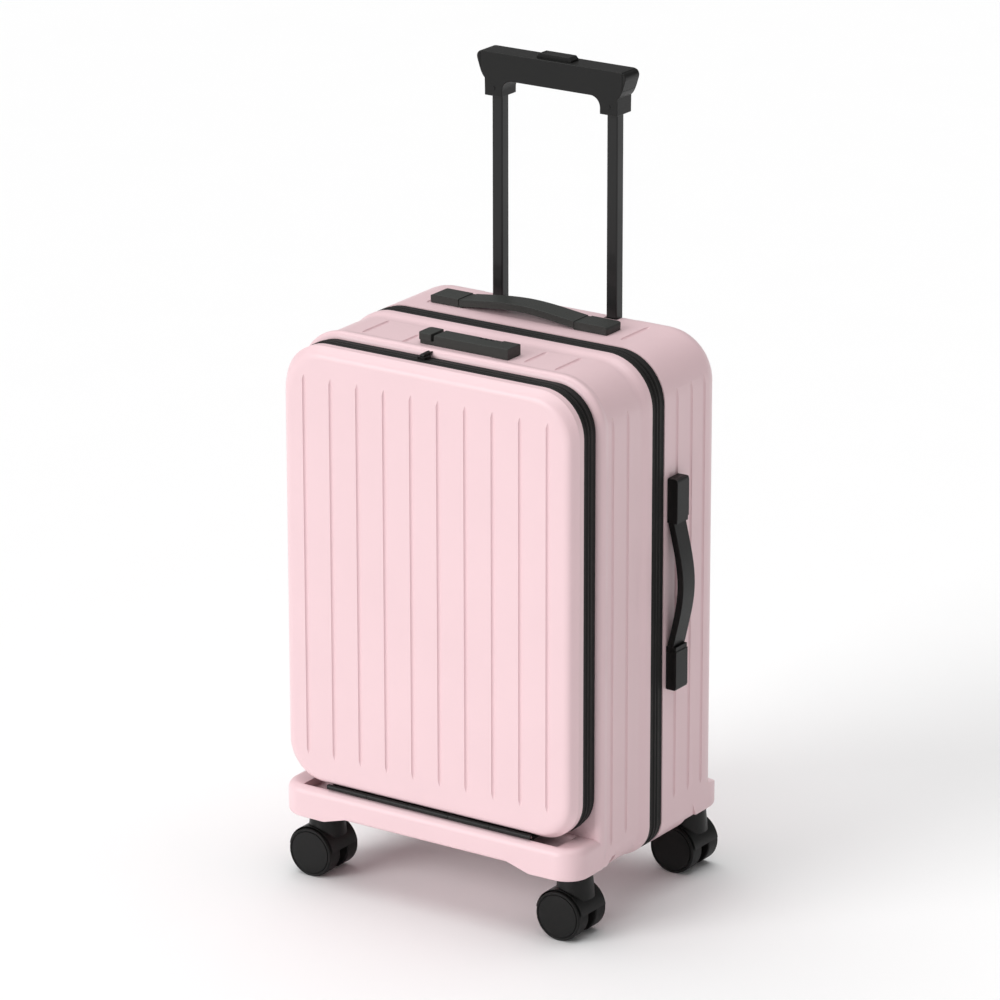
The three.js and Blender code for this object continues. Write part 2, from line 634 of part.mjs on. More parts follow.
function handleGrip(size) {
  const inner = size.length / 2 - size.block - GAP;
  const underEnd = 1.2 + GAP;
  const shape = new THREE.Shape();
  const middleTop = 2 * size.arch - (underEnd + HANDLE_THICKNESS); // a quadratic's control point
  const middleUnder = 2 * (size.arch - HANDLE_THICKNESS) - underEnd;
  shape.moveTo(-inner, underEnd);
  shape.quadraticCurveTo(0, middleUnder, inner, underEnd);
  shape.lineTo(inner, underEnd + HANDLE_THICKNESS - 1);
  shape.quadraticCurveTo(0, middleTop + 1, -inner, underEnd + HANDLE_THICKNESS - 1);
  const bar = plateXZ(shape, -size.width / 2, size.width / 2, 12);
  const tongueHalf = size.width / 2 - 3 - GAP;
  const tongueEnd = size.length / 2 - 6 - 3 * GAP;
  return joined(bar, box(-tongueEnd, -inner + 4, -tongueHalf, tongueHalf, underEnd, underEnd + HANDLE_TONGUE),
    box(inner - 4, tongueEnd, -tongueHalf, tongueHalf, underEnd, underEnd + HANDLE_TONGUE));
}

function onTop(name, shape) {
  const mesh = namedMesh(name, shape, GREY_PLASTIC);
  mesh.position.set(TOP_HANDLE.middle, TOP_HANDLE.across, CASE_TOP);
  return mesh;
}

function onSide(name, shape) {
  const mesh = namedMesh(name, shape, GREY_PLASTIC);
  mesh.rotation.y = Math.PI / 2;
  mesh.position.set(HALF, SIDE_HANDLE.across, SIDE_HANDLE.middle);
  return mesh;
}

// ---- Lock and zip sliders ----------------------------------------------------------------------
const DIAL_MIDDLE_X = (LOCK.left + LOCK.right) / 2 + 16;
const DIAL_Y = LOCK.back + DIAL_PROUD - DIAL_D / 2;
const DIAL_Z = CASE_TOP + GAP + DIAL_D / 2 + 0.6;
const dialX = (index) => DIAL_MIDDLE_X + (index - 1) * DIAL_PITCH;

function lockBody() {
  const bottom = CASE_TOP + GAP;
  const top = CASE_TOP + LOCK.height;
  const barStart = LOCK.left + LOCK_BUTTON_LENGTH + LOCK_SEAM;
  const shell = joined(
    box(LOCK.left, LOCK.right, LOCK.front + 1, LOCK.back - 1, bottom, bottom + LOCK_PLATE),
    box(barStart, LOCK.right - LOCK_BLOCK + 1, LOCK.front + 1, LOCK.back, bottom, top - 1),
    box(LOCK.right - LOCK_BLOCK, LOCK.right, LOCK.front, LOCK.back, bottom, top),
  );
  const pockets = [0, 1, 2].map((i) => {
    const x = dialX(i);
    const half = DIAL_WIDTH / 2 + GAP;
    return cylinder("x", DIAL_D + 4 * GAP, x - half, x + half, DIAL_Y, DIAL_Z, 16);
  });
  return cut(shell, ...pockets);
}

function lockButton() {
  const bottom = CASE_TOP + 2 * GAP + LOCK_PLATE;
  return box(LOCK.left, LOCK.left + LOCK_BUTTON_LENGTH, LOCK.front, LOCK.back, bottom, CASE_TOP + LOCK.height);
}

const dial = (index) =>
  cylinder("x", DIAL_D, dialX(index) - DIAL_WIDTH / 2, dialX(index) + DIAL_WIDTH / 2, DIAL_Y, DIAL_Z, 16);

const POCKET_SLIDER_X = -21;
const SLIDER_LENGTH = 11;
const SLIDER_HEIGHT = 3;

// The slider straddles the pocket zip; its puller runs back to the lock.
function pocketSlider() {
  const top = LID_OUTLINE.top - POCKET_TAPE_INSET + GAP;
  const x0 = POCKET_SLIDER_X - SLIDER_LENGTH / 2;
  const body = box(x0, x0 + SLIDER_LENGTH, FRONT_RIM - 14, FRONT_RIM - 3, top, top + SLIDER_HEIGHT);
  const neck = box(x0 + 3, x0 + SLIDER_LENGTH - 3, FRONT_RIM - 6, FRONT_RIM - 2, top + 1, CASE_TOP + GAP + 2);
  const puller = box(x0 + 2, x0 + SLIDER_LENGTH - 2, FRONT_RIM - 6, LOCK.front - 2 * GAP, CASE_TOP + GAP, CASE_TOP + 3);
  return joined(body, neck, puller);
}

function mainSlider() {
  const inner = -(HALF - TAPE_INSET + GAP);
  const z0 = MAIN_HINGE_TOP + 4;
  const y0 = MAIN_ZIP_MIDDLE + 2 * GAP;
  const body = box(inner - SLIDER_HEIGHT, inner, y0, y0 + 7, z0, z0 + SLIDER_LENGTH);
  const puller = box(inner - SLIDER_HEIGHT, inner - 1, y0 + 1, y0 + 6, z0 + SLIDER_LENGTH - 1, z0 + 3 * SLIDER_LENGTH);
  return joined(body, puller);
}

// ---- Casters -----------------------------------------------------------------------------------
// Made around the swivel axis at x = 0, y = 0, with the axle set back along -x.
const HOOD_CLEARANCE = 1.3;
const HOOD_THICKNESS = 2.4;
const FORK_WEB = 2 * (WHEEL_SPREAD - WHEEL_WIDTH / 2 - 2 * GAP);

function casterHousing() {
  const rim = cylinder("z", TURRET_D + 3, WELL_CEILING - GAP - 3, WELL_CEILING - GAP, 0, 0, 24);
  return joined(rim, cylinder("z", TURRET_D, HOUSING_BOTTOM, WELL_CEILING - GAP - 1, 0, 0, 24));
}

// The hood's outline, seen along the axle: an arc over the wheels.
function hoodOutline(inner, outer, from, to) {
  const shape = new THREE.Shape();
  shape.absarc(-CASTER_TRAIL, AXLE_Z, outer, from, to, false);
  shape.absarc(-CASTER_TRAIL, AXLE_Z, inner, to, from, true);
  return shape;
}

function casterFork() {
  const inner = WHEEL_D / 2 + HOOD_CLEARANCE;
  const hoodHalf = WHEEL_SPREAD + WHEEL_WIDTH / 2 - 3;
  const hood = plateXZ(
    hoodOutline(inner, inner + HOOD_THICKNESS, 0.12 * Math.PI, 0.88 * Math.PI),
    -hoodHalf,
    hoodHalf,
    10,
  );
  const web = plateXZ(hoodOutline(0.01, inner + 1, 0.12 * Math.PI, 0.88 * Math.PI), -FORK_WEB / 2, FORK_WEB / 2, 10);
  const hub = cylinder("y", 14, -FORK_WEB / 2, FORK_WEB / 2, -CASTER_TRAIL, AXLE_Z, 16);
  const turret = cylinder("z", TURRET_D - 2, AXLE_Z + inner - 6, HOUSING_BOTTOM - GAP, 0, 0, 24);
  const room = [-1, 1].map((side) => {
    const near = side * (FORK_WEB / 2);
    const far = side * (WHEEL_SPREAD + WHEEL_WIDTH);
    return cylinder("y", 2 * inner, Math.min(near, far), Math.max(near, far), -CASTER_TRAIL, AXLE_Z, 24);
  });
  const bore = cylinder("y", AXLE_D + 2 * GAP, -FORK_WEB, FORK_WEB, -CASTER_TRAIL, AXLE_Z, 12);
  return cut(joined(hood, web, hub, cut(turret, ...room)), bore);
}

const casterAxle = () => {
  const half = WHEEL_SPREAD + WHEEL_WIDTH / 2 - 4;
  return cylinder("y", AXLE_D, -half, half, -CASTER_TRAIL, AXLE_Z, 12);
};

// side is -1 for the wheel towards the front of a caster at rest, 1 for the one behind.
function wheel(side) {
  const radius = WHEEL_D / 2;
  const half = WHEEL_WIDTH / 2;
  const bore = AXLE_D / 2 + AXLE_CLEARANCE;
  const profile = [
    [0, half - 3],
    [bore, half - 3],
    [bore, -half],
    [radius - 3, -half],
    [radius, 2 - half],
    [radius, half - 3],
    [radius - 4, half],
    [0, half],
  ];
  const points = profile.map(([r, y]) => new THREE.Vector2(r, y));
  const turned = new THREE.LatheGeometry(points, 24);
  if (side < 0) turned.rotateX(Math.PI);
  return solid(turned.translate(-CASTER_TRAIL, side * WHEEL_SPREAD, AXLE_Z));
}

const CASTERS = [
  ["front_left", -CASTER_X, CASTER_FRONT_Y],
  ["front_right", CASTER_X, CASTER_FRONT_Y],
  ["back_left", -CASTER_X, CASTER_BACK_Y],
  ["back_right", CASTER_X, CASTER_BACK_Y],
];

function caster(place, x, y) {
  const group = new THREE.Group();
  group.position.set(x, y, 0);
  group.add(
    namedMesh(`caster_housing_${place}`, casterHousing(), BLACK_PLASTIC),
    namedMesh(`caster_fork_${place}`, casterFork(), BLACK_PLASTIC),
    namedMesh(`caster_axle_${place}`, casterAxle(), PIN_METAL),
    namedMesh(`wheel_${place}_a`, wheel(-1), WHEEL_TREAD),
    namedMesh(`wheel_${place}_b`, wheel(1), WHEEL_TREAD),
  );
  return group;
}

// ---- The suitcase ------------------------------------------------------------------------------
const suitcase = new THREE.Group();
suitcase.position.set(-ORIGIN_X, -ORIGIN_Y, 0);

const mainTape = inset(OUTLINE, TAPE_INSET);
const pocketTape = { ...inset(LID_OUTLINE, POCKET_TAPE_INSET), bottom: LID_BOTTOM };
const pocketZipMiddle = FRONT_RIM - GAP - POCKET_ZIP_WIDTH / 2;

suitcase.add(
  namedMesh("back_shell", backShell(), PINK),
  namedMesh("main_zip_tape_back", band(mainTape, MAIN_ZIP_MIDDLE + GAP, MAIN_ZIP_BACK), ZIP_TAPE),
  namedMesh("back_lining", backLining(), LINING_CLOTH),
  namedMesh("front_shell", frontShell(), PINK),
  namedMesh("main_zip_tape_front", band(mainTape, MAIN_ZIP_FRONT, MAIN_ZIP_MIDDLE - GAP), ZIP_TAPE),
  namedMesh("pocket_zip_tape_shell", band(pocketTape, pocketZipMiddle + GAP, FRONT_RIM - GAP), ZIP_TAPE),
  namedMesh("pocket_divider", pocketDivider(), LINING_CLOTH),
  namedMesh("lid_shell", lidShell(), PINK),
  namedMesh("pocket_zip_tape_lid", band(pocketTape, LID_RIM + GAP, pocketZipMiddle - GAP), ZIP_TAPE),
);

suitcase.add(
  namedMesh("main_hinge_leaf_back", mainHingeLeaf(1), BLACK_PLASTIC),
  namedMesh("main_hinge_leaf_front", mainHingeLeaf(-1), BLACK_PLASTIC),
  namedMesh(
    "main_hinge_pin",
    cylinder("z", HINGE_PIN_D, MAIN_HINGE_BOTTOM, MAIN_HINGE_TOP, MAIN_HINGE_X, MAIN_ZIP_MIDDLE, 10),
    PIN_METAL,
  ),
  namedMesh("lid_hinge_leaf_lid", lidHingeLeaf(true), BLACK_PLASTIC),
  namedMesh("lid_hinge_leaf_nose", lidHingeLeaf(false), BLACK_PLASTIC),
  namedMesh(
    "lid_hinge_pin",
    cylinder("x", HINGE_PIN_D, -LID_HINGE_HALF, LID_HINGE_HALF, LID_HINGE_Y, LID_HINGE_Z, 10),
    PIN_METAL,
  ),
);

for (const [side, sign] of [["left", -1], ["right", 1]]) {
  const x = (sign * TUBE_SPACING) / 2;
  suitcase.add(
    namedMesh(
      `outer_tube_${side}`,
      squareTube(x, OUTER_TUBE_SIZE, TUBE_WALL, OUTER_TUBE_BOTTOM, GUIDE_BOTTOM - GAP),
      TUBE_METAL,
    ),
    namedMesh(
      `middle_tube_${side}`,
      squareTube(x, MIDDLE_TUBE_SIZE, MIDDLE_TUBE_WALL, OUTER_TUBE_BOTTOM + 10, MIDDLE_TUBE_TOP),
      TUBE_METAL,
    ),
    namedMesh(`trolley_tube_${side}`, squareTube(x, TUBE_SIZE, TUBE_WALL, TUBE_BOTTOM, TUBE_TOP), TUBE_METAL),
  );
}
const footHole = MIDDLE_TUBE_SIZE;
suitcase.add(
  namedMesh(
    "trolley_top_guide",
    trolleyPlate(GUIDE_BOTTOM, GUIDE_BOTTOM + GUIDE_HEIGHT, MIDDLE_TUBE_SIZE + 2 * TUBE_SLIDE_CLEARANCE),
    BLACK_PLASTIC,
  ),
  namedMesh("trolley_foot", trolleyPlate(OUTER_TUBE_BOTTOM - 12, OUTER_TUBE_BOTTOM - GAP, footHole), BLACK_PLASTIC),
  namedMesh("trolley_grip", trolleyGrip(), BLACK_PLASTIC),
  namedMesh("trolley_button", releaseButton(), BLACK_PLASTIC),
  namedMesh("trolley_release_yoke", releaseYoke(), PIN_METAL),
);

suitcase.add(
  onTop("top_handle_grip", handleGrip(TOP_HANDLE)),
  onTop("top_handle_block_left", handleBlock(TOP_HANDLE, -1)),
  onTop("top_handle_block_right", handleBlock(TOP_HANDLE, 1)),
  onSide("side_handle_grip", handleGrip(SIDE_HANDLE)),
  onSide("side_handle_block_upper", handleBlock(SIDE_HANDLE, -1)),
  onSide("side_handle_block_lower", handleBlock(SIDE_HANDLE, 1)),
);

suitcase.add(
  namedMesh("lock_body", lockBody(), GREY_PLASTIC),
  namedMesh("lock_button", lockButton(), GREY_PLASTIC),
  namedMesh("pocket_zip_slider", pocketSlider(), BLACK_PLASTIC),
  namedMesh("main_zip_slider", mainSlider(), BLACK_PLASTIC),
);
for (let i = 0; i < 3; i++) suitcase.add(namedMesh(`lock_dial_${i + 1}`, dial(i), GREY_PLASTIC));
for (const [place, x, y] of CASTERS) suitcase.add(caster(place, x, y));

export default suitcase;
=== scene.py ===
import math

import bmesh
import bpy
from bpy.props import FloatProperty, FloatVectorProperty, IntProperty, PointerProperty
from bpy.types import Operator, Panel, PropertyGroup
from mathutils import Matrix, Vector


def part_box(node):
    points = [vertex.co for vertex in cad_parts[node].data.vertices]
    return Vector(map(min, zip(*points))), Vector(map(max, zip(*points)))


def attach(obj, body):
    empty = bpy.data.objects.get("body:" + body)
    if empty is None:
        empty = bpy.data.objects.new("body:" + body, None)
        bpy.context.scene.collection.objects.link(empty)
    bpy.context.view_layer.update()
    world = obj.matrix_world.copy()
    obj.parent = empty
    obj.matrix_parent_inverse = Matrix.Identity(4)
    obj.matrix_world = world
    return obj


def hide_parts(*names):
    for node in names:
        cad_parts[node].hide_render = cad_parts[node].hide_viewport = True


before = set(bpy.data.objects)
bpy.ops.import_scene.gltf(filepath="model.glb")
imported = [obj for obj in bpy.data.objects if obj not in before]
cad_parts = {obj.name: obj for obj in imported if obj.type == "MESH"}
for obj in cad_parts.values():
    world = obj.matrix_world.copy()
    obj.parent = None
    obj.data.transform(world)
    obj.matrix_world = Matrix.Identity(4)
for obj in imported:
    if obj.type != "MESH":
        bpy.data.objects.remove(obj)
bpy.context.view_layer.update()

bl_info = {
    "name": "Hard shell suitcase",
    "version": (1, 0, 0),
    "blender": (4, 5, 0),
    "location": "3D View > Sidebar > Suitcase",
    "description": "Builds a hard shell suitcase on casters around its packed frame",
    "category": "Add Mesh",
}

X, Y, Z = Vector((1, 0, 0)), Vector((0, 1, 0)), Vector((0, 0, 1))
NEAR = 0.00005

# ---- Places that come from the frame ------------------------------------------------------------
BACK_LOW, BACK_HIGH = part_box("back_shell")
FRONT_LOW, FRONT_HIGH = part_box("front_shell")
LID_LOW, LID_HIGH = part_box("lid_shell")
MIDDLE_X = (BACK_LOW.x + BACK_HIGH.x) / 2
CASE_TOP = BACK_HIGH.z
BELLY = BACK_LOW.z
FRONT_DEPTH = 0.0905  # from the main zip to the front rim
FRONT_WELL = 0.0545  # from the main zip to the front wheel wells
BACK_WELL = 0.0505  # from the main zip to the rear wheel wells
BACK_FOOT = 0.044  # from the main zip to the front of a rear foot
FOOT_RISE = 0.042  # height of a rear foot above its caster seat
OUTSIDE = 0.19  # a distance from the middle that is clear of the case's side
CASTER_PLACES = ("front_left", "front_right", "back_left", "back_right")


# ---- Sizes and colours a user would change ------------------------------------------------------
def length(name, description, default):
    return FloatProperty(
        name=name,
        description=description,
        default=default,
        unit="LENGTH",
        subtype="DISTANCE",
    )


def colour(name, description, default):
    return FloatVectorProperty(
        name=name, description=description, default=default, size=3, min=0, max=1, subtype="COLOR"
    )


class ShellSizes(PropertyGroup):
    """Sizes of the two half shells."""

    wall: length("Wall", "Thickness of the moulded shell", 0.003)
    top_corner: length("Top corner", "Radius of the two upper corners", 0.050)
    bottom_corner: length("Bottom corner", "Radius of the two lower corners", 0.033)
    back_edge: length("Back edge", "Radius of the edge round the back", 0.028)
    rim_inset: length("Rim inset", "How far the front rim rolls in", 0.006)
    panel_depth: length("Panel depth", "Depth of the shallow panel behind the rim", 0.0018)
    recess_depth: length("Back recess", "Depth of the back panel between the columns", 0.010)
    recess_half: length("Recess half width", "Half width of the recessed back panel", 0.095)
    recess_floor: length("Recess floor", "Height at which the back panel ends", 0.112)
    groove_radius: length("Groove radius", "Radius of the tool that cuts a groove", 0.0026)
    groove_depth: length("Groove depth", "Depth of the moulded grooves", 0.0020)
    nose_corner: length("Nose corner", "Radius of the base's front corners", 0.025)
    nose_bottom: length("Nose bottom", "Height of the base between the feet", 0.077)
    nose_top: length("Nose top", "Height of the ledge below the lid", 0.103)
    foot_proud: length("Rear foot", "How far a rear foot stands out behind the back face", 0.011)
    foot_bottom: length("Foot bottom", "Height of the caster seats", 0.070)
    foot_inner: length("Foot inner side", "Distance of a foot's inner side from the middle", 0.111)


class LidSizes(PropertyGroup):
    """Sizes of the pocket lid."""

    top_corner: length("Top corner", "Radius of the lid's upper corners", 0.044)
    bottom_corner: length("Bottom corner", "Radius of the lid's lower corners", 0.040)
    wall: length("Wall", "Thickness of the lid", 0.0025)
    groove_count: IntProperty(name="Grooves", description="Number of upright grooves", default=10, min=1)
    groove_pitch: length("Groove pitch", "Distance between grooves", 0.0312)
    groove_bottom: length("Groove foot", "Height at which the grooves start", 0.143)
    groove_top: length("Groove head", "Height at which the grooves end", 0.523)


class ZipSizes(PropertyGroup):
    """Sizes of the zips."""

    tape: length("Tape thickness", "Thickness of a zip tape", 0.0022)
    bead: length("Bead height", "Height of the cord along each tape", 0.0007)
    open_half: length("Opening half width", "Half of the lid's lower edge that has no zip", 0.126)


class GripSizes(PropertyGroup):
    """Sizes of the trolley and carry handles."""

    tube_edge: length("Tube edge", "Radius of the trolley tubes' edges", 0.0016)
    grip_edge: length("Grip edge", "Radius of the grip's edges", 0.0048)
    strap_edge: length("Strap edge", "Radius of a carry handle's edges", 0.0014)
    rivet: length("Rivet", "Diameter of the grip's rivets", 0.0042)


class CasterSizes(PropertyGroup):
    """Sizes of the casters."""

    tread_edge: length("Tread edge", "Radius of a wheel's outer edge", 0.0018)
    cap_radius: length("Cap radius", "Radius of the wheel cap", 0.0226)
    cap_dome: length("Cap dome", "How far the wheel cap domes out", 0.0008)
    hood_edge: length("Hood edge", "Radius of the hood's edges", 0.0009)


class Colours(PropertyGroup):
    """Colours of the suitcase."""

    pink: colour("Shell", "Moulded shell", (0.84, 0.61, 0.64))
    zip_black: colour("Zip", "Zip tape", (0.010, 0.009, 0.0085))
    black: colour("Black plastic", "Trolley grip and casters", (0.0055, 0.0055, 0.0052))
    charcoal: colour("Charcoal plastic", "Carry handles and lock", (0.034, 0.036, 0.033))
    tube: colour("Tube", "Anodised trolley tubes", (0.012, 0.012, 0.012))
    steel: colour("Steel", "Pins and axles", (0.55, 0.55, 0.56))
    lining: colour("Lining", "Lining cloth", (0.085, 0.085, 0.095))
    floor: colour("Floor", "Studio floor", (0.96, 0.96, 0.96))


class StageSettings(PropertyGroup):
    """Camera and lights."""

    lens: FloatProperty(name="Lens", description="Focal length in millimetres", default=203.9)
    key: FloatProperty(
        name="Key light",
        description="Strength of the light from the front left",
        default=1.75,
    )
    top: FloatProperty(name="Top light", description="Strength of the light from above", default=1.85)
    sky: FloatProperty(name="Room light", description="Strength of the light from all round", default=0.25)


def context_sizes(group):
    return getattr(bpy.context.scene, f"suitcase_{group}")


# ---- Modelling steps ----------------------------------------------------------------------------
def deselect_all():
    if bpy.context.mode != "OBJECT":
        bpy.ops.object.mode_set(mode="OBJECT")
    bpy.ops.object.select_all(action="DESELECT")


def pick(piece):
    deselect_all()
    piece.select_set(True)
    bpy.context.view_layer.objects.active = piece


def named(piece, name):
    piece.name = name
    piece.data.name = name
    return piece


def settle(piece):
    pick(piece)
    bpy.ops.object.transform_apply(location=True, rotation=True, scale=True)
    return piece


def block(name, low, high):
    """A cuboid between two corners."""
    deselect_all()
    low, high = Vector(low), Vector(high)
    bpy.ops.mesh.primitive_cube_add(size=1, location=(low + high) / 2)
    piece = named(bpy.context.object, name)
    piece.scale = high - low
    return settle(piece)


def turned_for(axis):
    """The rotation that lays a cylinder along an axis."""
    return {"x": (0, math.pi / 2, 0), "y": (math.pi / 2, 0, 0), "z": (0, 0, 0)}[axis]


def rod(name, axis, radius, start, end, sides=24):
    """A cylinder along an axis, between two points."""
    deselect_all()
    start, end = Vector(start), Vector(end)
    bpy.ops.mesh.primitive_cylinder_add(
        vertices=sides,
        radius=radius,
        depth=(end - start).length,
        location=(start + end) / 2,
        rotation=turned_for(axis),
    )
    return settle(named(bpy.context.object, name))


def choose(piece, kind, test):
    """Goes into edit mode with only the vertices, edges or faces selected that pass a test."""
    pick(piece)
    bpy.ops.object.mode_set(mode="EDIT")
    bpy.ops.mesh.select_mode(type=kind)
    bpy.ops.mesh.select_all(action="DESELECT")
    mesh = bmesh.from_edit_mesh(piece.data)
    parts = {"VERT": mesh.verts, "EDGE": mesh.edges, "FACE": mesh.faces}[kind]
    count = 0
    for part in parts:
        if test(part):
            part.select_set(True)
            count += 1
    if count == 0:
        raise RuntimeError(f"{piece.name}: nothing to select")
    bmesh.update_edit_mesh(piece.data)


def leave_edit():
    bpy.ops.object.mode_set(mode="OBJECT")


def runs_along(edge, axis):
    return abs((edge.verts[1].co - edge.verts[0].co).normalized().dot(axis)) > 0.999


def all_at(part, index, value):
    return all(abs(vertex.co[index] - value) < NEAR for vertex in part.verts)


def middle(part):
    return sum((vertex.co for vertex in part.verts), Vector()) / len(part.verts)


def round_edges(piece, test, radius, segments=6):
    choose(piece, "EDGE", test)
    bpy.ops.mesh.bevel(offset=radius, segments=segments, profile=0.5, affect="EDGES")
    leave_edit()
    return piece


def round_sharp(piece, radius, segments=3, angle=30):
    """Rounds every edge sharper than an angle."""
    pick(piece)
    bpy.ops.object.modifier_add(type="BEVEL")
    bevel = piece.modifiers[-1]
    bevel.width = radius
    bevel.segments = segments
    bevel.limit_method = "ANGLE"
    bevel.angle_limit = math.radians(angle)
    bpy.ops.object.modifier_apply(modifier=bevel.name)
    return piece


def combine(piece, others, operation, tangled=False):
    """A boolean with each other piece in turn.

    Tangled meshes, whose faces cross or lie flat on each other, take the manifold solver.
    """
    for other in others:
        pick(piece)
        bpy.ops.object.modifier_add(type="BOOLEAN")
        boolean = piece.modifiers[-1]
        boolean.operation = operation
        boolean.solver = "MANIFOLD" if tangled else "EXACT"
        boolean.object = other
        bpy.ops.object.modifier_apply(modifier=boolean.name)
        bpy.data.objects.remove(other)
    return piece


def cut(piece, *cutters, tangled=False):
    return combine(piece, cutters, "DIFFERENCE", tangled)


def add(piece, *others, tangled=False):
    return combine(piece, others, "UNION", tangled)


def join(pieces, name):
    """Several separate meshes as one object."""
    deselect_all()
    for piece in pieces:
        piece.select_set(True)
    bpy.context.view_layer.objects.active = pieces[0]
    if len(pieces) > 1:
        bpy.ops.object.join()
    return named(pieces[0], name)


def copy_of(piece, name, offset=(0, 0, 0)):
    pick(piece)
    bpy.ops.object.duplicate(linked=False)
    twin = named(bpy.context.object, name)
    twin.location = Vector(offset)
    return settle(twin)


def rounded_case(name, low, high, top_corner, bottom_corner, segments=14):
    """A prism along y with the case's outline."""
    piece = block(name, low, high)
    waist = (low[2] + high[2]) / 2
    round_edges(piece, lambda e: runs_along(e, Y) and middle(e).z > waist, top_corner, segments)
    round_edges(piece, lambda e: runs_along(e, Y) and middle(e).z < waist, bottom_corner, segments)
    return piece


def run_rings(piece, end_y, low, high, rings):
    """Extrudes the end face at end_y through rings of [y, inset], each a smaller outline."""
    choose(piece, "FACE", lambda face: all_at(face, 1, end_y))
    centre = ((low[0] + high[0]) / 2, 0, (low[2] + high[2]) / 2)
    half = ((high[0] - low[0]) / 2, (high[2] - low[2]) / 2)
    before_y, before = end_y, 0
    for y, inset in rings:
        bpy.ops.mesh.extrude_region_move(TRANSFORM_OT_translate={"value": (0, y - before_y, 0)})
        scale = [(side - inset) / (side - before) for side in half]
        bpy.ops.transform.resize(value=(scale[0], 1, scale[1]), center_override=centre)
        before_y, before = y, inset
    leave_edit()
    return piece


def groove(axis, start, end, radius):
    """A cutter with pointed ends that leaves a groove between two points."""
    start, end = Vector(start), Vector(end)
    cutter = rod("groove", axis, radius, start, end, 12)
    index = "xyz".index(axis)
    for tip, way in ((start, -1), (end, 1)):
        choose(cutter, "FACE", lambda face: all_at(face, index, tip[index]))
        move = [0, 0, 0]
        move[index] = way * radius * 2.2
        bpy.ops.mesh.extrude_region_move(TRANSFORM_OT_translate={"value": move})
        centre = tip.copy()
        centre[index] += move[index]
        bpy.ops.transform.resize(value=(0.3, 0.3, 0.3), center_override=centre)
        leave_edit()
    return cutter


def smooth(piece, angle=32, weighted=True):
    pick(piece)
    bpy.ops.object.shade_smooth_by_angle(angle=math.radians(angle))
    if weighted:
        bpy.ops.object.modifier_add(type="WEIGHTED_NORMAL")
        normals = piece.modifiers[-1]
        normals.keep_sharp = True
        bpy.ops.object.modifier_apply(modifier=normals.name)
    return piece


def paint(piece, material):
    piece.data.materials.clear()
    piece.data.materials.append(material)


def dress(piece, body, slot, material, *replaced, angle=32, weighted=True):
    """Finishes a piece: shading, material, the body it rides on and the nodes it stands for."""
    if not piece.data.polygons:
        raise RuntimeError(f"{piece.name} has no faces")
    smooth(piece, angle, weighted)
    paint(piece, material)
    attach(piece, body)
    if replaced:
        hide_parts(*replaced)
    return piece


# ---- Materials ----------------------------------------------------------------------------------
def node_group(name, inputs, outputs):
    group = bpy.data.node_groups.new(name, "ShaderNodeTree")
    for socket, default in inputs:
        made = group.interface.new_socket(socket, in_out="INPUT", socket_type="NodeSocketFloat")
        made.default_value = default
    for socket in outputs:
        group.interface.new_socket(socket, in_out="OUTPUT", socket_type="NodeSocketFloat")
    start = group.nodes.new("NodeGroupInput")
    end = group.nodes.new("NodeGroupOutput")
    return group, start, end


def noise(tree, coordinates, scale, detail=3.0, roughness=0.55):
    texture = tree.nodes.new("ShaderNodeTexNoise")
    texture.inputs["Scale"].default_value = scale
    texture.inputs["Detail"].default_value = detail
    texture.inputs["Roughness"].default_value = roughness
    tree.links.new(coordinates, texture.inputs["Vector"])
    return texture


def maths(tree, operation, a, b=None):
    node = tree.nodes.new("ShaderNodeMath")
    node.operation = operation
    for socket, value in zip(node.inputs, (a, b)):
        if value is None:
            continue
        if isinstance(value, (int, float)):
            socket.default_value = value
        else:
            tree.links.new(value, socket)
    return node.outputs[0]


def spread(tree, value, low, high, out_low=0.0, out_high=1.0):
    node = tree.nodes.new("ShaderNodeMapRange")
    for index, number in enumerate((low, high, out_low, out_high), 1):
        node.inputs[index].default_value = number
    tree.links.new(value, node.inputs["Value"])
    return node.outputs["Result"]


def grain_group():
    """Moulded grain: a fine height, and a slow drift for colour and gloss."""
    group, start, end = node_group(
        "moulded_grain",
        [("Scale", 900.0), ("Drift Scale", 9.0)],
        ["Height", "Drift"],
    )
    place = group.nodes.new("ShaderNodeTexCoord").outputs["Object"]
    fine = noise(group, place, 900, 2)
    group.links.new(start.outputs["Scale"], fine.inputs["Scale"])
    slow = noise(group, place, 9, 4)
    group.links.new(start.outputs["Drift Scale"], slow.inputs["Scale"])
    group.links.new(fine.outputs["Fac"], end.inputs["Height"])
    group.links.new(spread(group, slow.outputs["Fac"], 0.3, 0.7), end.inputs["Drift"])
    return group


def wear_group():
    """Handling: faint rubbed spots and hairline scuffs."""
    group, start, end = node_group("handling", [("Amount", 0.3)], ["Mask"])
    place = group.nodes.new("ShaderNodeTexCoord").outputs["Object"]
    stretch = group.nodes.new("ShaderNodeMapping")
    stretch.inputs["Scale"].default_value = (1.0, 1.0, 14.0)
    stretch.inputs["Rotation"].default_value = (0.5, 0.3, 0.0)
    group.links.new(place, stretch.inputs["Vector"])
    lines = noise(group, stretch.outputs["Vector"], 55, 5, 0.7)
    patches = noise(group, place, 14, 3)
    scuffs = spread(group, lines.outputs["Fac"], 0.62, 0.74)
    where = spread(group, patches.outputs["Fac"], 0.5, 0.7)
    both = maths(group, "MULTIPLY", scuffs, where)
    group.links.new(maths(group, "MULTIPLY", both, start.outputs["Amount"]), end.inputs["Mask"])
    return group


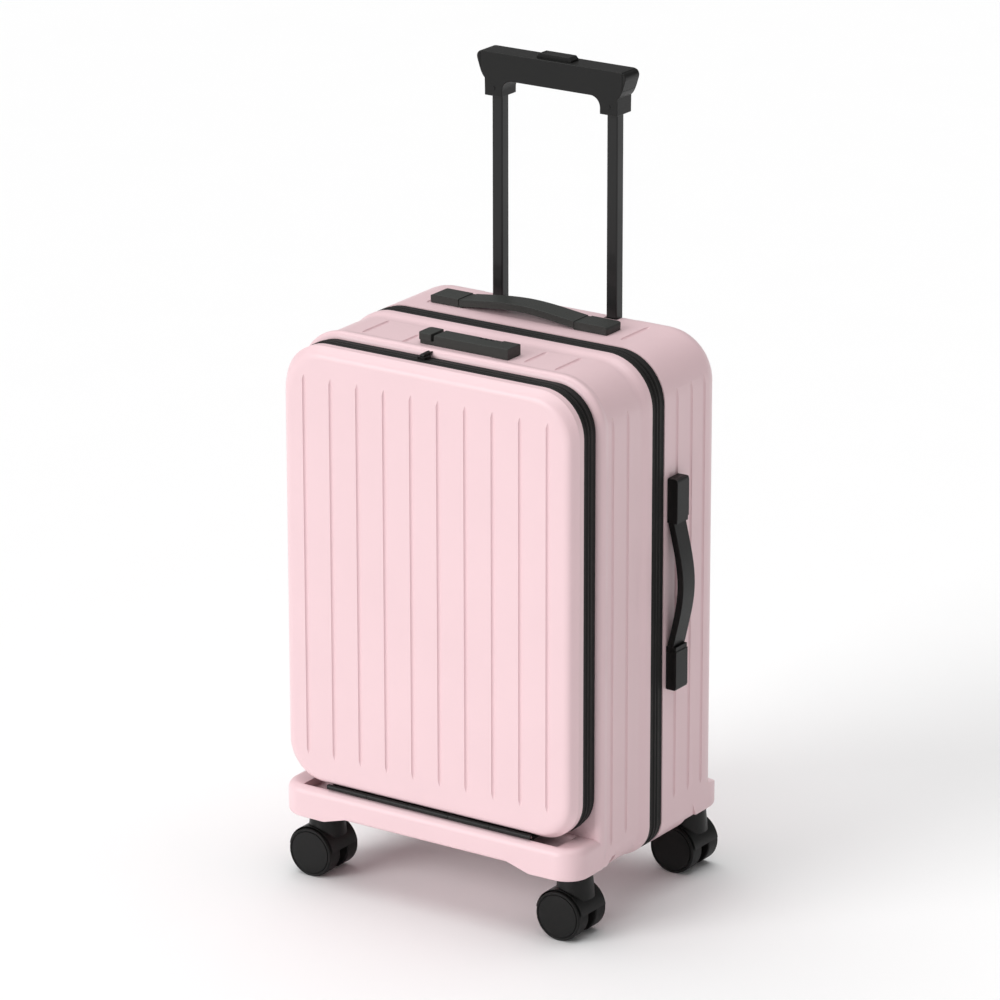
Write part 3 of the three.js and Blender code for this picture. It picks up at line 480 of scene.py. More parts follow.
def weave_group():
    """Woven cloth: threads over and under each other."""
    group, start, end = node_group("cloth_weave", [("Threads per metre", 1600.0)], ["Height", "Mask"])
    place = group.nodes.new("ShaderNodeTexCoord").outputs["Object"]
    split = group.nodes.new("ShaderNodeSeparateXYZ")
    group.links.new(place, split.inputs["Vector"])
    across = maths(group, "ADD", split.outputs["X"], split.outputs["Y"])
    waves = []
    for value in (across, split.outputs["Z"]):
        turns = maths(group, "MULTIPLY", value, start.outputs["Threads per metre"])
        angle = maths(group, "MULTIPLY", turns, math.pi)
        waves.append(maths(group, "SINE", angle))
    checker = maths(group, "MULTIPLY", waves[0], waves[1])
    height = spread(group, checker, -1, 1)
    group.links.new(height, end.inputs["Height"])
    fuzz = noise(group, place, 260, 3)
    group.links.new(spread(group, fuzz.outputs["Fac"], 0.3, 0.7), end.inputs["Mask"])
    return group


GROUPS = {}


def group_node(tree, name, **values):
    makers = {"grain": grain_group, "wear": wear_group, "weave": weave_group}
    if name not in GROUPS:
        GROUPS[name] = makers[name]()
    node = tree.nodes.new("ShaderNodeGroup")
    node.node_tree = GROUPS[name]
    for key, value in values.items():
        node.inputs[key.replace("_", " ")].default_value = value
    return node


def new_material(name, settings):
    """A Principled material with its constants set on its own sockets."""
    material = bpy.data.materials.new(name)
    material.use_nodes = True
    tree = material.node_tree
    shader = tree.nodes["Principled BSDF"]
    for socket, value in settings.items():
        shader.inputs[socket].default_value = value
    return material, tree, shader


def mix_colours(tree, factor, first, second):
    node = tree.nodes.new("ShaderNodeMix")
    node.data_type = "RGBA"
    node.inputs["A"].default_value = (*first, 1)
    node.inputs["B"].default_value = (*second, 1)
    tree.links.new(factor, node.inputs["Factor"])
    return node.outputs["Result"]


def bump(tree, shader, height, distance, strength=1.0):
    node = tree.nodes.new("ShaderNodeBump")
    node.inputs["Distance"].default_value = distance
    node.inputs["Strength"].default_value = strength
    tree.links.new(height, node.inputs["Height"])
    tree.links.new(node.outputs["Normal"], shader.inputs["Normal"])


def scaled(tint, factor):
    return tuple(min(1.0, channel * factor) for channel in tint)


def moulded(name, tint, roughness, vary, grain_scale, grain_depth, wear, wear_tint, **settings):
    """A moulded plastic: drift in tone, grain and faint handling marks."""
    material, tree, shader = new_material(name, settings)
    grain = group_node(tree, "grain", Scale=grain_scale)
    marks = group_node(tree, "wear", Amount=wear)
    tone = mix_colours(tree, grain.outputs["Drift"], scaled(tint, 1 - vary), scaled(tint, 1 + vary))
    worn = tree.nodes.new("ShaderNodeMix")
    worn.data_type = "RGBA"
    worn.inputs["B"].default_value = (*wear_tint, 1)
    tree.links.new(marks.outputs["Mask"], worn.inputs["Factor"])
    tree.links.new(tone, worn.inputs["A"])
    tree.links.new(worn.outputs["Result"], shader.inputs["Base Color"])
    low, high = roughness
    gloss = spread(tree, grain.outputs["Drift"], 0, 1, low, high)
    scuffed = maths(tree, "MULTIPLY", marks.outputs["Mask"], 0.25)
    tree.links.new(maths(tree, "ADD", gloss, scuffed), shader.inputs["Roughness"])
    bump(tree, shader, grain.outputs["Height"], grain_depth)
    return material


def shell_pink(tints):
    tint = tuple(tints.pink)
    return moulded(
        "shell_pink", tint, (0.34, 0.42), 0.012, 1500, 0.00006, 0.25, scaled(tint, 1.08),
        **{"Specular IOR Level": 0.42, "Coat Weight": 0.12, "Coat Roughness": 0.3},
    )


DULL = {"Specular IOR Level": 0.26}


def black_plastic(tints):
    tint = tuple(tints.black)
    return moulded("black_plastic", tint, (0.36, 0.46), 0.10, 1400, 0.0001, 0.35, scaled(tint, 2.2), **DULL)


def charcoal_plastic(tints):
    tint = tuple(tints.charcoal)
    return moulded(
        "charcoal_plastic",
        tint,
        (0.42, 0.52),
        0.08,
        1600,
        0.00012,
        0.35,
        scaled(tint, 1.7),
        **DULL,
    )


def wheel_rubber(tints):
    tint = tuple(tints.black)
    return moulded(
        "wheel_rubber",
        scaled(tint, 0.85),
        (0.5, 0.62),
        0.14,
        700,
        0.0002,
        0.6,
        scaled(tint, 2.6),
        **DULL,
    )


def tube_finish(tints):
    """Black anodised aluminium with drawing lines along the tube."""
    tint = tuple(tints.tube)
    material, tree, shader = new_material("tube_anodised", {"Metallic": 0.55, "Coat Weight": 0.15})
    place = tree.nodes.new("ShaderNodeTexCoord").outputs["Object"]
    stretch = tree.nodes.new("ShaderNodeMapping")
    stretch.inputs["Scale"].default_value = (1.0, 1.0, 0.01)
    tree.links.new(place, stretch.inputs["Vector"])
    lines = noise(tree, stretch.outputs["Vector"], 1800, 2)
    grain = group_node(tree, "grain", Scale=1200)
    tone = mix_colours(tree, lines.outputs["Fac"], scaled(tint, 0.8), scaled(tint, 1.25))
    tree.links.new(tone, shader.inputs["Base Color"])
    tree.links.new(spread(tree, grain.outputs["Drift"], 0, 1, 0.34, 0.46), shader.inputs["Roughness"])
    bump(tree, shader, lines.outputs["Fac"], 0.00003)
    return material


def plated_steel(tints):
    tint = tuple(tints.steel)
    material, tree, shader = new_material("plated_steel", {"Metallic": 1.0})
    grain = group_node(tree, "grain", Scale=700)
    marks = group_node(tree, "wear", Amount=0.5)
    tone = mix_colours(tree, grain.outputs["Drift"], scaled(tint, 0.85), scaled(tint, 1.1))
    tree.links.new(tone, shader.inputs["Base Color"])
    rough = maths(tree, "ADD", marks.outputs["Mask"], 0.28)
    tree.links.new(rough, shader.inputs["Roughness"])
    bump(tree, shader, grain.outputs["Height"], 0.00003)
    return material


def woven(name, tint, threads, depth, roughness, sheen):
    material, tree, shader = new_material(
        name,
        {"Sheen Weight": sheen, "Sheen Roughness": 0.5, "Specular IOR Level": 0.2},
    )
    weave = group_node(tree, "weave", Threads_per_metre=threads)
    grain = group_node(tree, "grain", Scale=500)
    # Painted shade: the cloth's colour is darker in the low parts of the weave between the threads and
    # lighter on the thread crowns, mixed with a random fuzz tone; the same weave height also drives the bump.
    thread_shade_and_fuzz = maths(tree, "MULTIPLY", weave.outputs["Height"], weave.outputs["Mask"])
    tone = mix_colours(tree, thread_shade_and_fuzz, scaled(tint, 0.65), scaled(tint, 1.5))
    tree.links.new(tone, shader.inputs["Base Color"])
    rough = spread(tree, grain.outputs["Drift"], 0, 1, roughness - 0.06, roughness + 0.04)
    tree.links.new(rough, shader.inputs["Roughness"])
    bump(tree, shader, weave.outputs["Height"], depth)
    return material


def zip_tape(tints):
    return woven("zip_tape", tuple(tints.zip_black), 900, 0.00018, 0.62, 0.05)


def lining_cloth(tints):
    return woven("lining_cloth", tuple(tints.lining), 1500, 0.0002, 0.85, 0.3)


def webbing(tints):
    return woven("webbing", scaled(tuple(tints.lining), 0.4), 700, 0.0004, 0.8, 0.2)


def floor_finish(tints):
    material, tree, shader = new_material("studio_floor", {"Specular IOR Level": 0.15})
    grain = group_node(tree, "grain", Scale=60)
    tint = tuple(tints.floor)
    tone = mix_colours(tree, grain.outputs["Drift"], scaled(tint, 0.998), scaled(tint, 1.002))
    tree.links.new(tone, shader.inputs["Base Color"])
    rough = spread(tree, grain.outputs["Drift"], 0, 1, 0.88, 0.92)
    tree.links.new(rough, shader.inputs["Roughness"])
    return material


MATERIALS = {}


def finish(name):
    makers = {
        "pink": shell_pink,
        "black": black_plastic,
        "charcoal": charcoal_plastic,
        "wheel": wheel_rubber,
        "tube": tube_finish,
        "steel": plated_steel,
        "zip": zip_tape,
        "lining": lining_cloth,
        "webbing": webbing,
        "floor": floor_finish,
    }
    if name not in MATERIALS:
        MATERIALS[name] = makers[name](bpy.context.scene.suitcase_colours)
    return MATERIALS[name]


# ---- Stage --------------------------------------------------------------------------------------
class SUITCASE_OT_stage(Operator):
    """Add the camera, the floor and the studio lights"""

    bl_idname = "suitcase.stage"
    bl_label = "Stage"

    def execute(self, context):
        settings = context.scene.suitcase_stage
        deselect_all()
        turn = (math.radians(90 - 18.65), math.radians(0.09), math.radians(33.90))
        bpy.ops.object.camera_add(location=(2.9066, -4.3359, 2.1529), rotation=turn)
        camera = context.object
        camera.data.lens = settings.lens
        camera.data.sensor_width = 36
        context.scene.camera = camera
        deselect_all()
        bpy.ops.mesh.primitive_plane_add(size=60, location=(0, 0, 0))
        floor = named(context.object, "studio_floor")
        paint(floor, finish("floor"))
        self.light("key", settings.key, 35, (-1.6, -3.4, 1.9))
        self.light("top", settings.top, 70, (-0.3, 0.3, 3.4))
        world = bpy.data.worlds.new("studio")
        world.use_nodes = True
        world.node_tree.nodes["Background"].inputs["Color"].default_value = (1, 1, 1, 1)
        world.node_tree.nodes["Background"].inputs["Strength"].default_value = settings.sky
        context.scene.world = world
        context.scene.view_settings.view_transform = "Standard"
        return {"FINISHED"}

    def light(self, name, strength, spread_angle, place):
        """A large soft light, far away, that shines from a place towards the case."""
        deselect_all()
        aim = Vector((0, 0, 0.35)) - Vector(place)
        bpy.ops.object.light_add(
            type="SUN",
            location=place,
            rotation=aim.to_track_quat("-Z", "Y").to_euler(),
        )
        lamp = bpy.context.object
        lamp.name = name
        lamp.data.energy = strength
        lamp.data.angle = math.radians(spread_angle)


# ---- Shells -------------------------------------------------------------------------------------
def side_groove(x, y, low, high, sizes):
    """A cutter for an upright groove in the wall at x."""
    out = math.copysign(sizes.groove_radius - sizes.groove_depth, x - MIDDLE_X)
    return groove("z", (x + out, y, low), (x + out, y, high), sizes.groove_radius)


def top_groove(x, low_y, high_y, top, sizes):
    z = top + sizes.groove_radius - sizes.groove_depth
    return groove("y", (x, low_y, z), (x, high_y, z), sizes.groove_radius)


class SUITCASE_OT_lid(Operator):
    """Model the pocket lid with its upright grooves"""

    bl_idname = "suitcase.lid"
    bl_label = "Pocket lid"

    def form(self, name, wall, sizes):
        """The lid's outside, or the room inside it."""
        low = LID_LOW + Vector((wall, wall, wall))
        high = LID_HIGH - Vector((wall, -wall if wall else 0, wall))
        face = low.y
        start = high.y
        draft = (
            (0.0065, 0.0026),
            (0.0035, 0.0040),
            (0.0016, 0.0060),
            (0.0005, 0.0085),
            (0.0, 0.0115),
        )
        first = face + 0.0105
        piece = rounded_case(
            name,
            (low.x, first, low.z),
            (high.x, start, high.z),
            sizes.top_corner - wall,
            sizes.bottom_corner - wall,
        )
        rings = [(face + back, inset - 0.4 * wall) for back, inset in draft]
        return run_rings(piece, first, low, high, rings)

    def execute(self, context):
        sizes = context.scene.suitcase_lid
        shell = context.scene.suitcase_shell
        lid = self.form("pocket_lid", 0, sizes)
        face = LID_LOW.y - (shell.groove_radius - shell.groove_depth)
        grooves = []
        for index in range(sizes.groove_count):
            x = MIDDLE_X + (index - (sizes.groove_count - 1) / 2) * sizes.groove_pitch
            grooves.append(
                groove("z", (x, face, sizes.groove_bottom), (x, face, sizes.groove_top), shell.groove_radius)
            )
        cut(lid, join(grooves, "lid_grooves"), self.form("lid_room", sizes.wall, sizes))
        dress(lid, "lid", "pink_shell", finish("pink"), "lid_shell")
        return {"FINISHED"}


class SUITCASE_OT_front_shell(Operator):
    """Model the front half shell with its rolled rim, grooves, base and feet"""

    bl_idname = "suitcase.front_shell"
    bl_label = "Front shell"

    def body(self, sizes):
        """The half's walls, from the zip forwards: a raised lip, a valley, a panel and a rolled rim."""
        low, high = FRONT_LOW.copy(), FRONT_HIGH.copy()
        low.z = BELLY
        back = high.y
        rim = back - FRONT_DEPTH
        start = back - 0.0022
        piece = rounded_case(
            "front_half_shell", (low.x, start, BELLY), (high.x, start + 0.0005, high.z),
            sizes.top_corner, sizes.bottom_corner,
        )
        depth = sizes.panel_depth
        profile = [
            (start - 0.0050, 0.0),
            (start - 0.0085, 0.25 * depth),
            (start - 0.0120, 0.85 * depth),
            (start - 0.0155, 1.25 * depth),
            (start - 0.0200, 1.3 * depth),
            (start - 0.0250, depth),
            (rim + 0.0160, depth),
            (rim + 0.0135, 0.85 * depth),
            (rim + 0.0110, 0.4 * depth),
            (rim + 0.0085, 0.1 * depth),
            (rim + 0.0065, 0.0),
            (rim + 0.0045, 0.0003),
            (rim + 0.0025, 0.0013),
            (rim + 0.0010, 0.0032),
            (rim, sizes.rim_inset),
        ]
        run_rings(piece, start, low, high, profile)
        run_rings(piece, start + 0.0005, low, high, [(start + 0.0012, 0.0003), (start + 0.0022, 0.0014)])
        return piece, low, high, rim, back

    def execute(self, context):
        sizes = context.scene.suitcase_shell
        shell, low, high, rim, back = self.body(sizes)
        well_edge = back - FRONT_WELL
        inner = sizes.foot_inner
        wells = []
        for side in (-1, 1):
            ends = sorted((MIDDLE_X + side * inner, MIDDLE_X + side * OUTSIDE))
            wells.append(
                block(
                    "well",
                    (ends[0], rim - 0.01, BELLY - 0.01),
                    (ends[1], well_edge, sizes.foot_bottom + 0.006),
                )
            )
        cut(shell, join(wells, "wells"))
        self.base(shell, low, high, rim, well_edge, sizes)
        self.hollow(shell, low, high, rim, back, well_edge, sizes)
        grooves = []
        for x in (low.x + sizes.panel_depth, high.x - sizes.panel_depth):
            for offset, foot in ((0.068, 0.095), (0.0418, 0.100)):
                grooves.append(side_groove(x, back - offset, foot, 0.523, sizes))
        top = CASE_TOP - sizes.panel_depth
        for x, front, rear in (
            (0.138, 0.0765, 0.0225),
            (0.111, 0.0675, 0.0295),
            (-0.138, 0.0765, 0.0225),
            (-0.111, 0.0675, 0.0295),
            (0.073, 0.0625, 0.0315),
            (-0.0606, 0.0735, 0.0525),
        ):
            grooves.append(top_groove(MIDDLE_X + x, back - front, back - rear, top, sizes))
        cut(shell, join(grooves, "front_grooves"))
        dress(shell, "front_half", "pink_shell", finish("pink"), "front_shell")
        return {"FINISHED"}

    def base(self, shell, low, high, rim, well_edge, sizes):
        """The base below the lid, with a foot over each caster that slopes up to its neighbours."""
        crown = rim + 0.0065
        nose = block("nose", (low.x, FRONT_LOW.y, sizes.nose_bottom), (high.x, crown, sizes.nose_top))
        round_edges(nose, lambda e: runs_along(e, Z) and middle(e).y < rim - 0.02, sizes.nose_corner, 12)
        round_edges(nose, lambda e: all_at(e, 2, sizes.nose_top) and middle(e).y < crown - NEAR, 0.0085, 7)
        round_edges(
            nose,
            lambda e: all_at(e, 2, sizes.nose_bottom) and middle(e).y < crown - NEAR,
            0.004,
            4,
        )
        add(shell, nose)
        top = sizes.nose_bottom + 0.012
        bottom = sizes.foot_bottom
        half = high.x - MIDDLE_X
        for side in (-1, 1):
            outer = MIDDLE_X + side * half
            self.foot(shell, side, outer, FRONT_LOW.y, crown, bottom, top, sizes, 0.0, rim)
            panel = MIDDLE_X + side * (half - sizes.panel_depth - 0.0001)
            self.foot(shell, side, panel, crown - 0.003, well_edge + 0.004, bottom, top, sizes, 0.026, None)

    def foot(self, shell, side, outer, front, rear, bottom, top, sizes, rear_slope, corner_limit):
        inner = MIDDLE_X + side * (sizes.foot_inner - 0.051)
        ends = sorted((inner, outer))
        foot = block("foot", (ends[0], front, bottom), (ends[1], rear, top))
        choose(foot, "VERT", lambda v: abs(v.co.z - bottom) < NEAR and abs(v.co.x - inner) < NEAR)
        bpy.ops.transform.translate(value=(side * 0.065, 0, 0))
        leave_edit()
        if rear_slope:
            choose(foot, "VERT", lambda v: abs(v.co.z - bottom) < NEAR and abs(v.co.y - rear) < NEAR)
            bpy.ops.transform.translate(value=(0, -rear_slope, 0))
            leave_edit()
        if corner_limit:
            round_edges(
                foot,
                lambda e: runs_along(e, Z) and all_at(e, 0, outer) and middle(e).y < corner_limit,
                sizes.nose_corner,
                12,
            )
        round_edges(foot, lambda e: all_at(e, 2, bottom) and middle(e).y < rear - 0.001, 0.0042, 5)
        add(shell, foot)

    def hollow(self, shell, low, high, rim, back, well_edge, sizes):
        """The packing space, the pocket's mouth and the channel under the lid."""
        wall = sizes.wall + sizes.panel_depth
        room = rounded_case(
            "room",
            (low.x + wall, rim + sizes.wall, BELLY + wall),
            (high.x - wall, back + 0.001, high.z - wall),
            sizes.top_corner - wall,
            sizes.bottom_corner - wall,
        )
        wells = []
        for side in (-1, 1):
            ends = sorted((MIDDLE_X + side * (sizes.foot_inner - 0.007), MIDDLE_X + side * OUTSIDE))
            wells.append(
                block(
                    "inner_well",
                    (ends[0], rim - 0.01, BELLY - 0.01),
                    (ends[1], well_edge + 0.007, sizes.foot_bottom + 0.016),
                )
            )
        cut(room, join(wells, "inner_wells"))
        inset = 2 * sizes.rim_inset
        mouth = rounded_case(
            "mouth",
            (low.x + inset, rim - 0.002, LID_LOW.z + 0.0056),
            (high.x - inset, rim + 2 * sizes.wall, high.z - inset),
            sizes.top_corner - inset,
            0.034,
        )
        channel = block(
            "channel",
            (MIDDLE_X - 0.150, LID_LOW.y + 0.0035, sizes.nose_top - 0.0085),
            (MIDDLE_X + 0.150, rim - 0.0008, sizes.nose_top + 0.004),
        )
        round_edges(
            channel,
            lambda e: all_at(e, 2, sizes.nose_top - 0.0085) and runs_along(e, X),
            0.0065,
            6,
        )
        cut(shell, room, mouth, channel)


class SUITCASE_OT_back_shell(Operator):
    """Model the back half shell with its corner columns, recessed panel and grooves"""

    bl_idname = "suitcase.back_shell"
    bl_label = "Back shell"

    def rounded(self, name, low, high, sizes, wall=0.0):
        piece = rounded_case(name, low, high, sizes.top_corner - wall, sizes.bottom_corner - wall)
        edge = sizes.back_edge - wall
        return round_edges(piece, lambda e: all_at(e, 1, high[1]), edge, 10)

    def execute(self, context):
        sizes = context.scene.suitcase_shell
        wall = sizes.wall
        low = BACK_LOW
        high = Vector((BACK_HIGH.x, BACK_HIGH.y - sizes.foot_proud, BACK_HIGH.z))
        shell = self.rounded("back_half_shell", (low.x, low.y, low.z), (high.x, high.y, high.z), sizes)
        panel_y = high.y - sizes.recess_depth
        panel = self.rounded("panel", (low.x, low.y, low.z), (high.x, panel_y, high.z), sizes)
        half = sizes.recess_half
        recess = block(
            "recess",
            (MIDDLE_X - half - 0.008, panel_y - 0.012, sizes.recess_floor),
            (MIDDLE_X + half + 0.008, high.y + 0.004, high.z + 0.01),
        )
        choose(recess, "FACE", lambda face: all_at(face, 1, panel_y - 0.012))
        shrink = (half - 0.006) / (half + 0.008)
        bpy.ops.transform.resize(value=(shrink, 1, 1), center_override=(MIDDLE_X, 0, 0))
        leave_edit()
        round_edges(recess, lambda e: all_at(e, 2, sizes.recess_floor) and not runs_along(e, X), 0.018, 8)
        cut(recess, panel)
        cut(shell, recess)
        wells = []
        inner_wells = []
        for side in (-1, 1):
            outer = MIDDLE_X + side * 0.19
            ends = sorted((MIDDLE_X + side * sizes.foot_inner, outer))
            wells.append(
                block(
                    "well",
                    (ends[0], low.y + BACK_WELL, low.z - 0.01),
                    (ends[1], high.y + 0.01, sizes.foot_bottom),
                )
            )
            ends = sorted((MIDDLE_X + side * (sizes.foot_inner - wall), outer))
            inner_wells.append(
                block(
                    "inner_well",
                    (ends[0], low.y + 0.0475, low.z - 0.01),
                    (ends[1], high.y, sizes.foot_bottom + wall),
                )
            )
        room = self.rounded(
            "room",
            (low.x + wall, low.y - 0.001, low.z + wall),
            (high.x - wall, panel_y - wall, high.z - wall),
            sizes,
            wall,
        )
        cut(room, join(inner_wells, "inner_wells"))
        cut(shell, join(wells, "wells"))
        self.feet(shell, low, high, sizes)
        cut(shell, room, self.tube_holes(high))
        grooves = []
        for x in (low.x, high.x):
            for offset in (0.0215, 0.0471, 0.0703):
                grooves.append(side_groove(x, low.y + offset, 0.109, 0.523, sizes))
        for x, front, rear in ((0.1405, 0.0155, 0.0815), (0.113, 0.0235, 0.0645)):
            for side in (-1, 1):
                grooves.append(
                    top_groove(MIDDLE_X + side * x, low.y + front, low.y + min(rear, 0.070), high.z, sizes)
                )
        for index in range(5):
            x = MIDDLE_X + (index - 2) * 0.0312
            y = panel_y + sizes.groove_radius - sizes.groove_depth
            grooves.append(groove("z", (x, y, 0.150), (x, y, 0.505), sizes.groove_radius))
        cut(shell, join(grooves, "back_grooves"))
        dress(shell, "back_half", "pink_shell", finish("pink"), "back_shell")
        return {"FINISHED"}

    def feet(self, shell, low, high, sizes):
        """A foot over each rear caster, which stands out behind the back face and slopes up to it."""
        bottom = sizes.foot_bottom
        crown = bottom + FOOT_RISE
        front, rear = low.y + BACK_FOOT, high.y + sizes.foot_proud
        for side in (-1, 1):
            outer = MIDDLE_X + side * (high.x - MIDDLE_X)
            inner = MIDDLE_X + side * (sizes.foot_inner - 0.006)
            ends = sorted((inner, outer))
            foot = block("foot", (ends[0], front, bottom), (ends[1], rear, crown))
            choose(foot, "VERT", lambda v: abs(v.co.z - bottom) < NEAR and abs(v.co.y - front) < NEAR)
            bpy.ops.transform.translate(value=(0, 0.020, 0))
            leave_edit()
            choose(foot, "VERT", lambda v: abs(v.co.z - crown) < NEAR and abs(v.co.y - rear) < NEAR)
            bpy.ops.transform.translate(value=(0, 0, -0.022))
            leave_edit()
            round_edges(
                foot,
                lambda e: abs(e.verts[0].co.y - rear) < NEAR and runs_along(e, Z) and all_at(e, 0, outer),
                0.026,
                12,
            )
            round_edges(
                foot,
                lambda e: abs(middle(e).y - rear) < NEAR and runs_along(e, X) and middle(e).z > bottom + 0.01,
                0.012,
                6,
            )
            round_edges(foot, lambda e: all_at(e, 2, bottom), 0.0042, 5)
            add(shell, foot, tangled=True)

    def tube_holes(self, high):
        holes = []
        for side in ("left", "right"):
            tube_low, tube_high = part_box(f"middle_tube_{side}")
            gap = 0.0004
            holes.append(
                block(
                    "tube_hole",
                    (tube_low.x - gap, tube_low.y - gap, high.z - 0.04),
                    (tube_high.x + gap, tube_high.y + gap, high.z + 0.01),
                )
            )
        return join(holes, "tube_holes")


# ---- Zips ---------------------------------------------------------------------------------------
def zip_ring(name, node, top_corner, bottom_corner, seam_at_high, sizes):
    """Half of a zip: a tape round the outline with a cord along its seam."""
    low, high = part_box(node)
    seam, hem = (high.y, low.y) if seam_at_high else (low.y, high.y)
    way = 1 if seam_at_high else -1
    first = hem + way * 0.0004
    ends = sorted((hem, first))
    piece = rounded_case(
        name,
        (low.x, ends[0], low.z),
        (high.x, ends[1], high.z),
        top_corner,
        bottom_corner,
    )
    bead = sizes.bead
    rings = [
        (hem + way * 0.0016, 0.0),
        (hem + way * 0.0021, 0.0003),
        (seam - way * 0.0042, 0.0003),
        (seam - way * 0.0038, -0.4 * bead),
        (seam - way * 0.0030, -bead),
        (seam - way * 0.0014, -bead),
        (seam - way * 0.0006, -0.4 * bead),
        (seam, 0.0004),
    ]
    run_rings(piece, first, low, high, rings)
    choose(piece, "FACE", lambda face: all_at(face, 1, hem) or all_at(face, 1, seam))
    bpy.ops.mesh.delete(type="FACE")
    leave_edit()
    bpy.ops.object.modifier_add(type="SOLIDIFY")
    solidify = piece.modifiers[-1]
    solidify.thickness = sizes.tape
    solidify.offset = -1
    solidify.use_even_offset = True
    bpy.ops.object.modifier_apply(modifier=solidify.name)
    return piece


class SUITCASE_OT_main_zip(Operator):
    """Model the two halves of the main zip"""

    bl_idname = "suitcase.main_zip"
    bl_label = "Main zip"

    def execute(self, context):
        sizes = context.scene.suitcase_zips
        shell = context.scene.suitcase_shell
        for half, seam_at_high in (("back", False), ("front", True)):
            node = f"main_zip_tape_{half}"
            piece = zip_ring(
                f"main_zip_{half}",
                node,
                shell.top_corner - 0.001,
                shell.bottom_corner - 0.001,
                seam_at_high,
                sizes,
            )
            dress(piece, f"{half}_half", "zip_tape", finish("zip"), node, angle=50)
        return {"FINISHED"}


class SUITCASE_OT_pocket_zip(Operator):
    """Model the two halves of the pocket zip, open along the lid's lower edge"""

    bl_idname = "suitcase.pocket_zip"
    bl_label = "Pocket zip"

    def execute(self, context):
        sizes = context.scene.suitcase_zips
        lid = context.scene.suitcase_lid
        for part, body, seam_at_high in (("shell", "front_half", False), ("lid", "lid", True)):
            node = f"pocket_zip_tape_{part}"
            low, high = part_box(node)
            piece = zip_ring(
                f"pocket_zip_{part}",
                node,
                lid.top_corner - 0.0005,
                lid.bottom_corner - 0.0005,
                seam_at_high,
                sizes,
            )
            opening = block(
                "opening",
                (MIDDLE_X - sizes.open_half, low.y - 0.01, low.z - 0.01),
                (MIDDLE_X + sizes.open_half, high.y + 0.01, low.z + 0.01),
            )
            cut(piece, opening, tangled=True)
            dress(piece, body, "zip_tape", finish("zip"), node, angle=50)
        return {"FINISHED"}


# ---- Lining -------------------------------------------------------------------------------------
class SUITCASE_OT_linings(Operator):
    """Model the zipped lining, the pocket divider and the packing straps"""

    bl_idname = "suitcase.linings"
    bl_label = "Linings"

    def panel(self, name, node, body, mouth_at_low):
        """A cloth panel: a welt round its edge and a slightly puffed middle."""
        shell = context_sizes("shell")
        low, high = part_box(node)
        corner = shell.wall + 0.004
        rim = 0.0006
        face = low.y if mouth_at_low else high.y
        back = high.y if mouth_at_low else low.y
        way = -1 if mouth_at_low else 1
        ends = sorted((back, face - way * rim))
        piece = rounded_case(
            name, (low.x, ends[0], low.z), (high.x, ends[1], high.z),
            shell.top_corner - corner, shell.bottom_corner - corner,
        )
        choose(piece, "FACE", lambda f: all_at(f, 1, face - way * rim))
        for thickness, depth in (
            (0.0006, rim),
            (0.006, 0.0),
            (0.0008, -0.0009),
            (0.003, 0.0),
            (0.02, 0.0004),
        ):
            bpy.ops.mesh.inset(thickness=thickness, depth=depth)
        leave_edit()
        cutters = []
        for side in (-1, 1):
            ends = sorted((MIDDLE_X + side * (shell.foot_inner - corner), MIDDLE_X + side * OUTSIDE))
            cutters.append(
                block(
                    "well",
                    (ends[0], low.y - 0.01, low.z - 0.01),
                    (ends[1], high.y + 0.01, shell.foot_bottom + corner),
                )
            )
        if mouth_at_low:
            cut(piece, join(cutters, "wells"), tangled=True)
        else:
            for cutter in cutters:
                bpy.data.objects.remove(cutter)
        dress(piece, body, "lining_cloth", finish("lining"), node, angle=50)
        return piece

    def strap(self, name, start, end, width, body):
        """A flat strap between two points on one y, with sewn edges."""
        start, end = Vector(start), Vector(end)
        run = end - start
        deselect_all()
        piece = block(name, (-run.length / 2, -0.0006, -width / 2), (run.length / 2, 0.0006, width / 2))
        choose(piece, "FACE", lambda f: abs(f.normal.y) > 0.9)
        bpy.ops.mesh.inset(thickness=width * 0.08, depth=0.0)
        bpy.ops.mesh.inset(thickness=0.0006, depth=-0.0003)
        leave_edit()
        piece.rotation_euler = (0, -math.atan2(run.z, run.x), 0)
        piece.location = (start + end) / 2
        settle(piece)
        dress(piece, body, "lining_cloth", finish("webbing"), angle=50)
        return piece

    def execute(self, context):
        self.panel("back_lining_cloth", "back_lining", "back_half", True)
        self.panel("pocket_divider_cloth", "pocket_divider", "front_half", False)
        y = BACK_LOW.y + 0.004
        half, low, high = 0.166, 0.14, 0.48
        for index, (first, last) in enumerate(((low, high), (high, low)), 1):
            depth = y + 0.0022 * index
            self.strap(
                f"packing_strap_{index}",
                (MIDDLE_X - half, depth, first),
                (MIDDLE_X + half, depth, last),
                0.025,
                "back_half",
            )
        centre = (low + high) / 2
        buckle = block(
            "strap_buckle",
            (MIDDLE_X - 0.024, y - 0.004, centre - 0.019),
            (MIDDLE_X + 0.024, y + 0.0012, centre + 0.019),
        )
        round_edges(buckle, lambda e: runs_along(e, Y), 0.006, 5)
        choose(buckle, "FACE", lambda f: f.normal.y < -0.9)
        bpy.ops.mesh.inset(thickness=0.004, depth=0.0)
        bpy.ops.mesh.inset(thickness=0.0008, depth=-0.0008)
        leave_edit()
        round_sharp(buckle, 0.0008)
        dress(buckle, "back_half", "black_plastic", finish("black"))
        return {"FINISHED"}


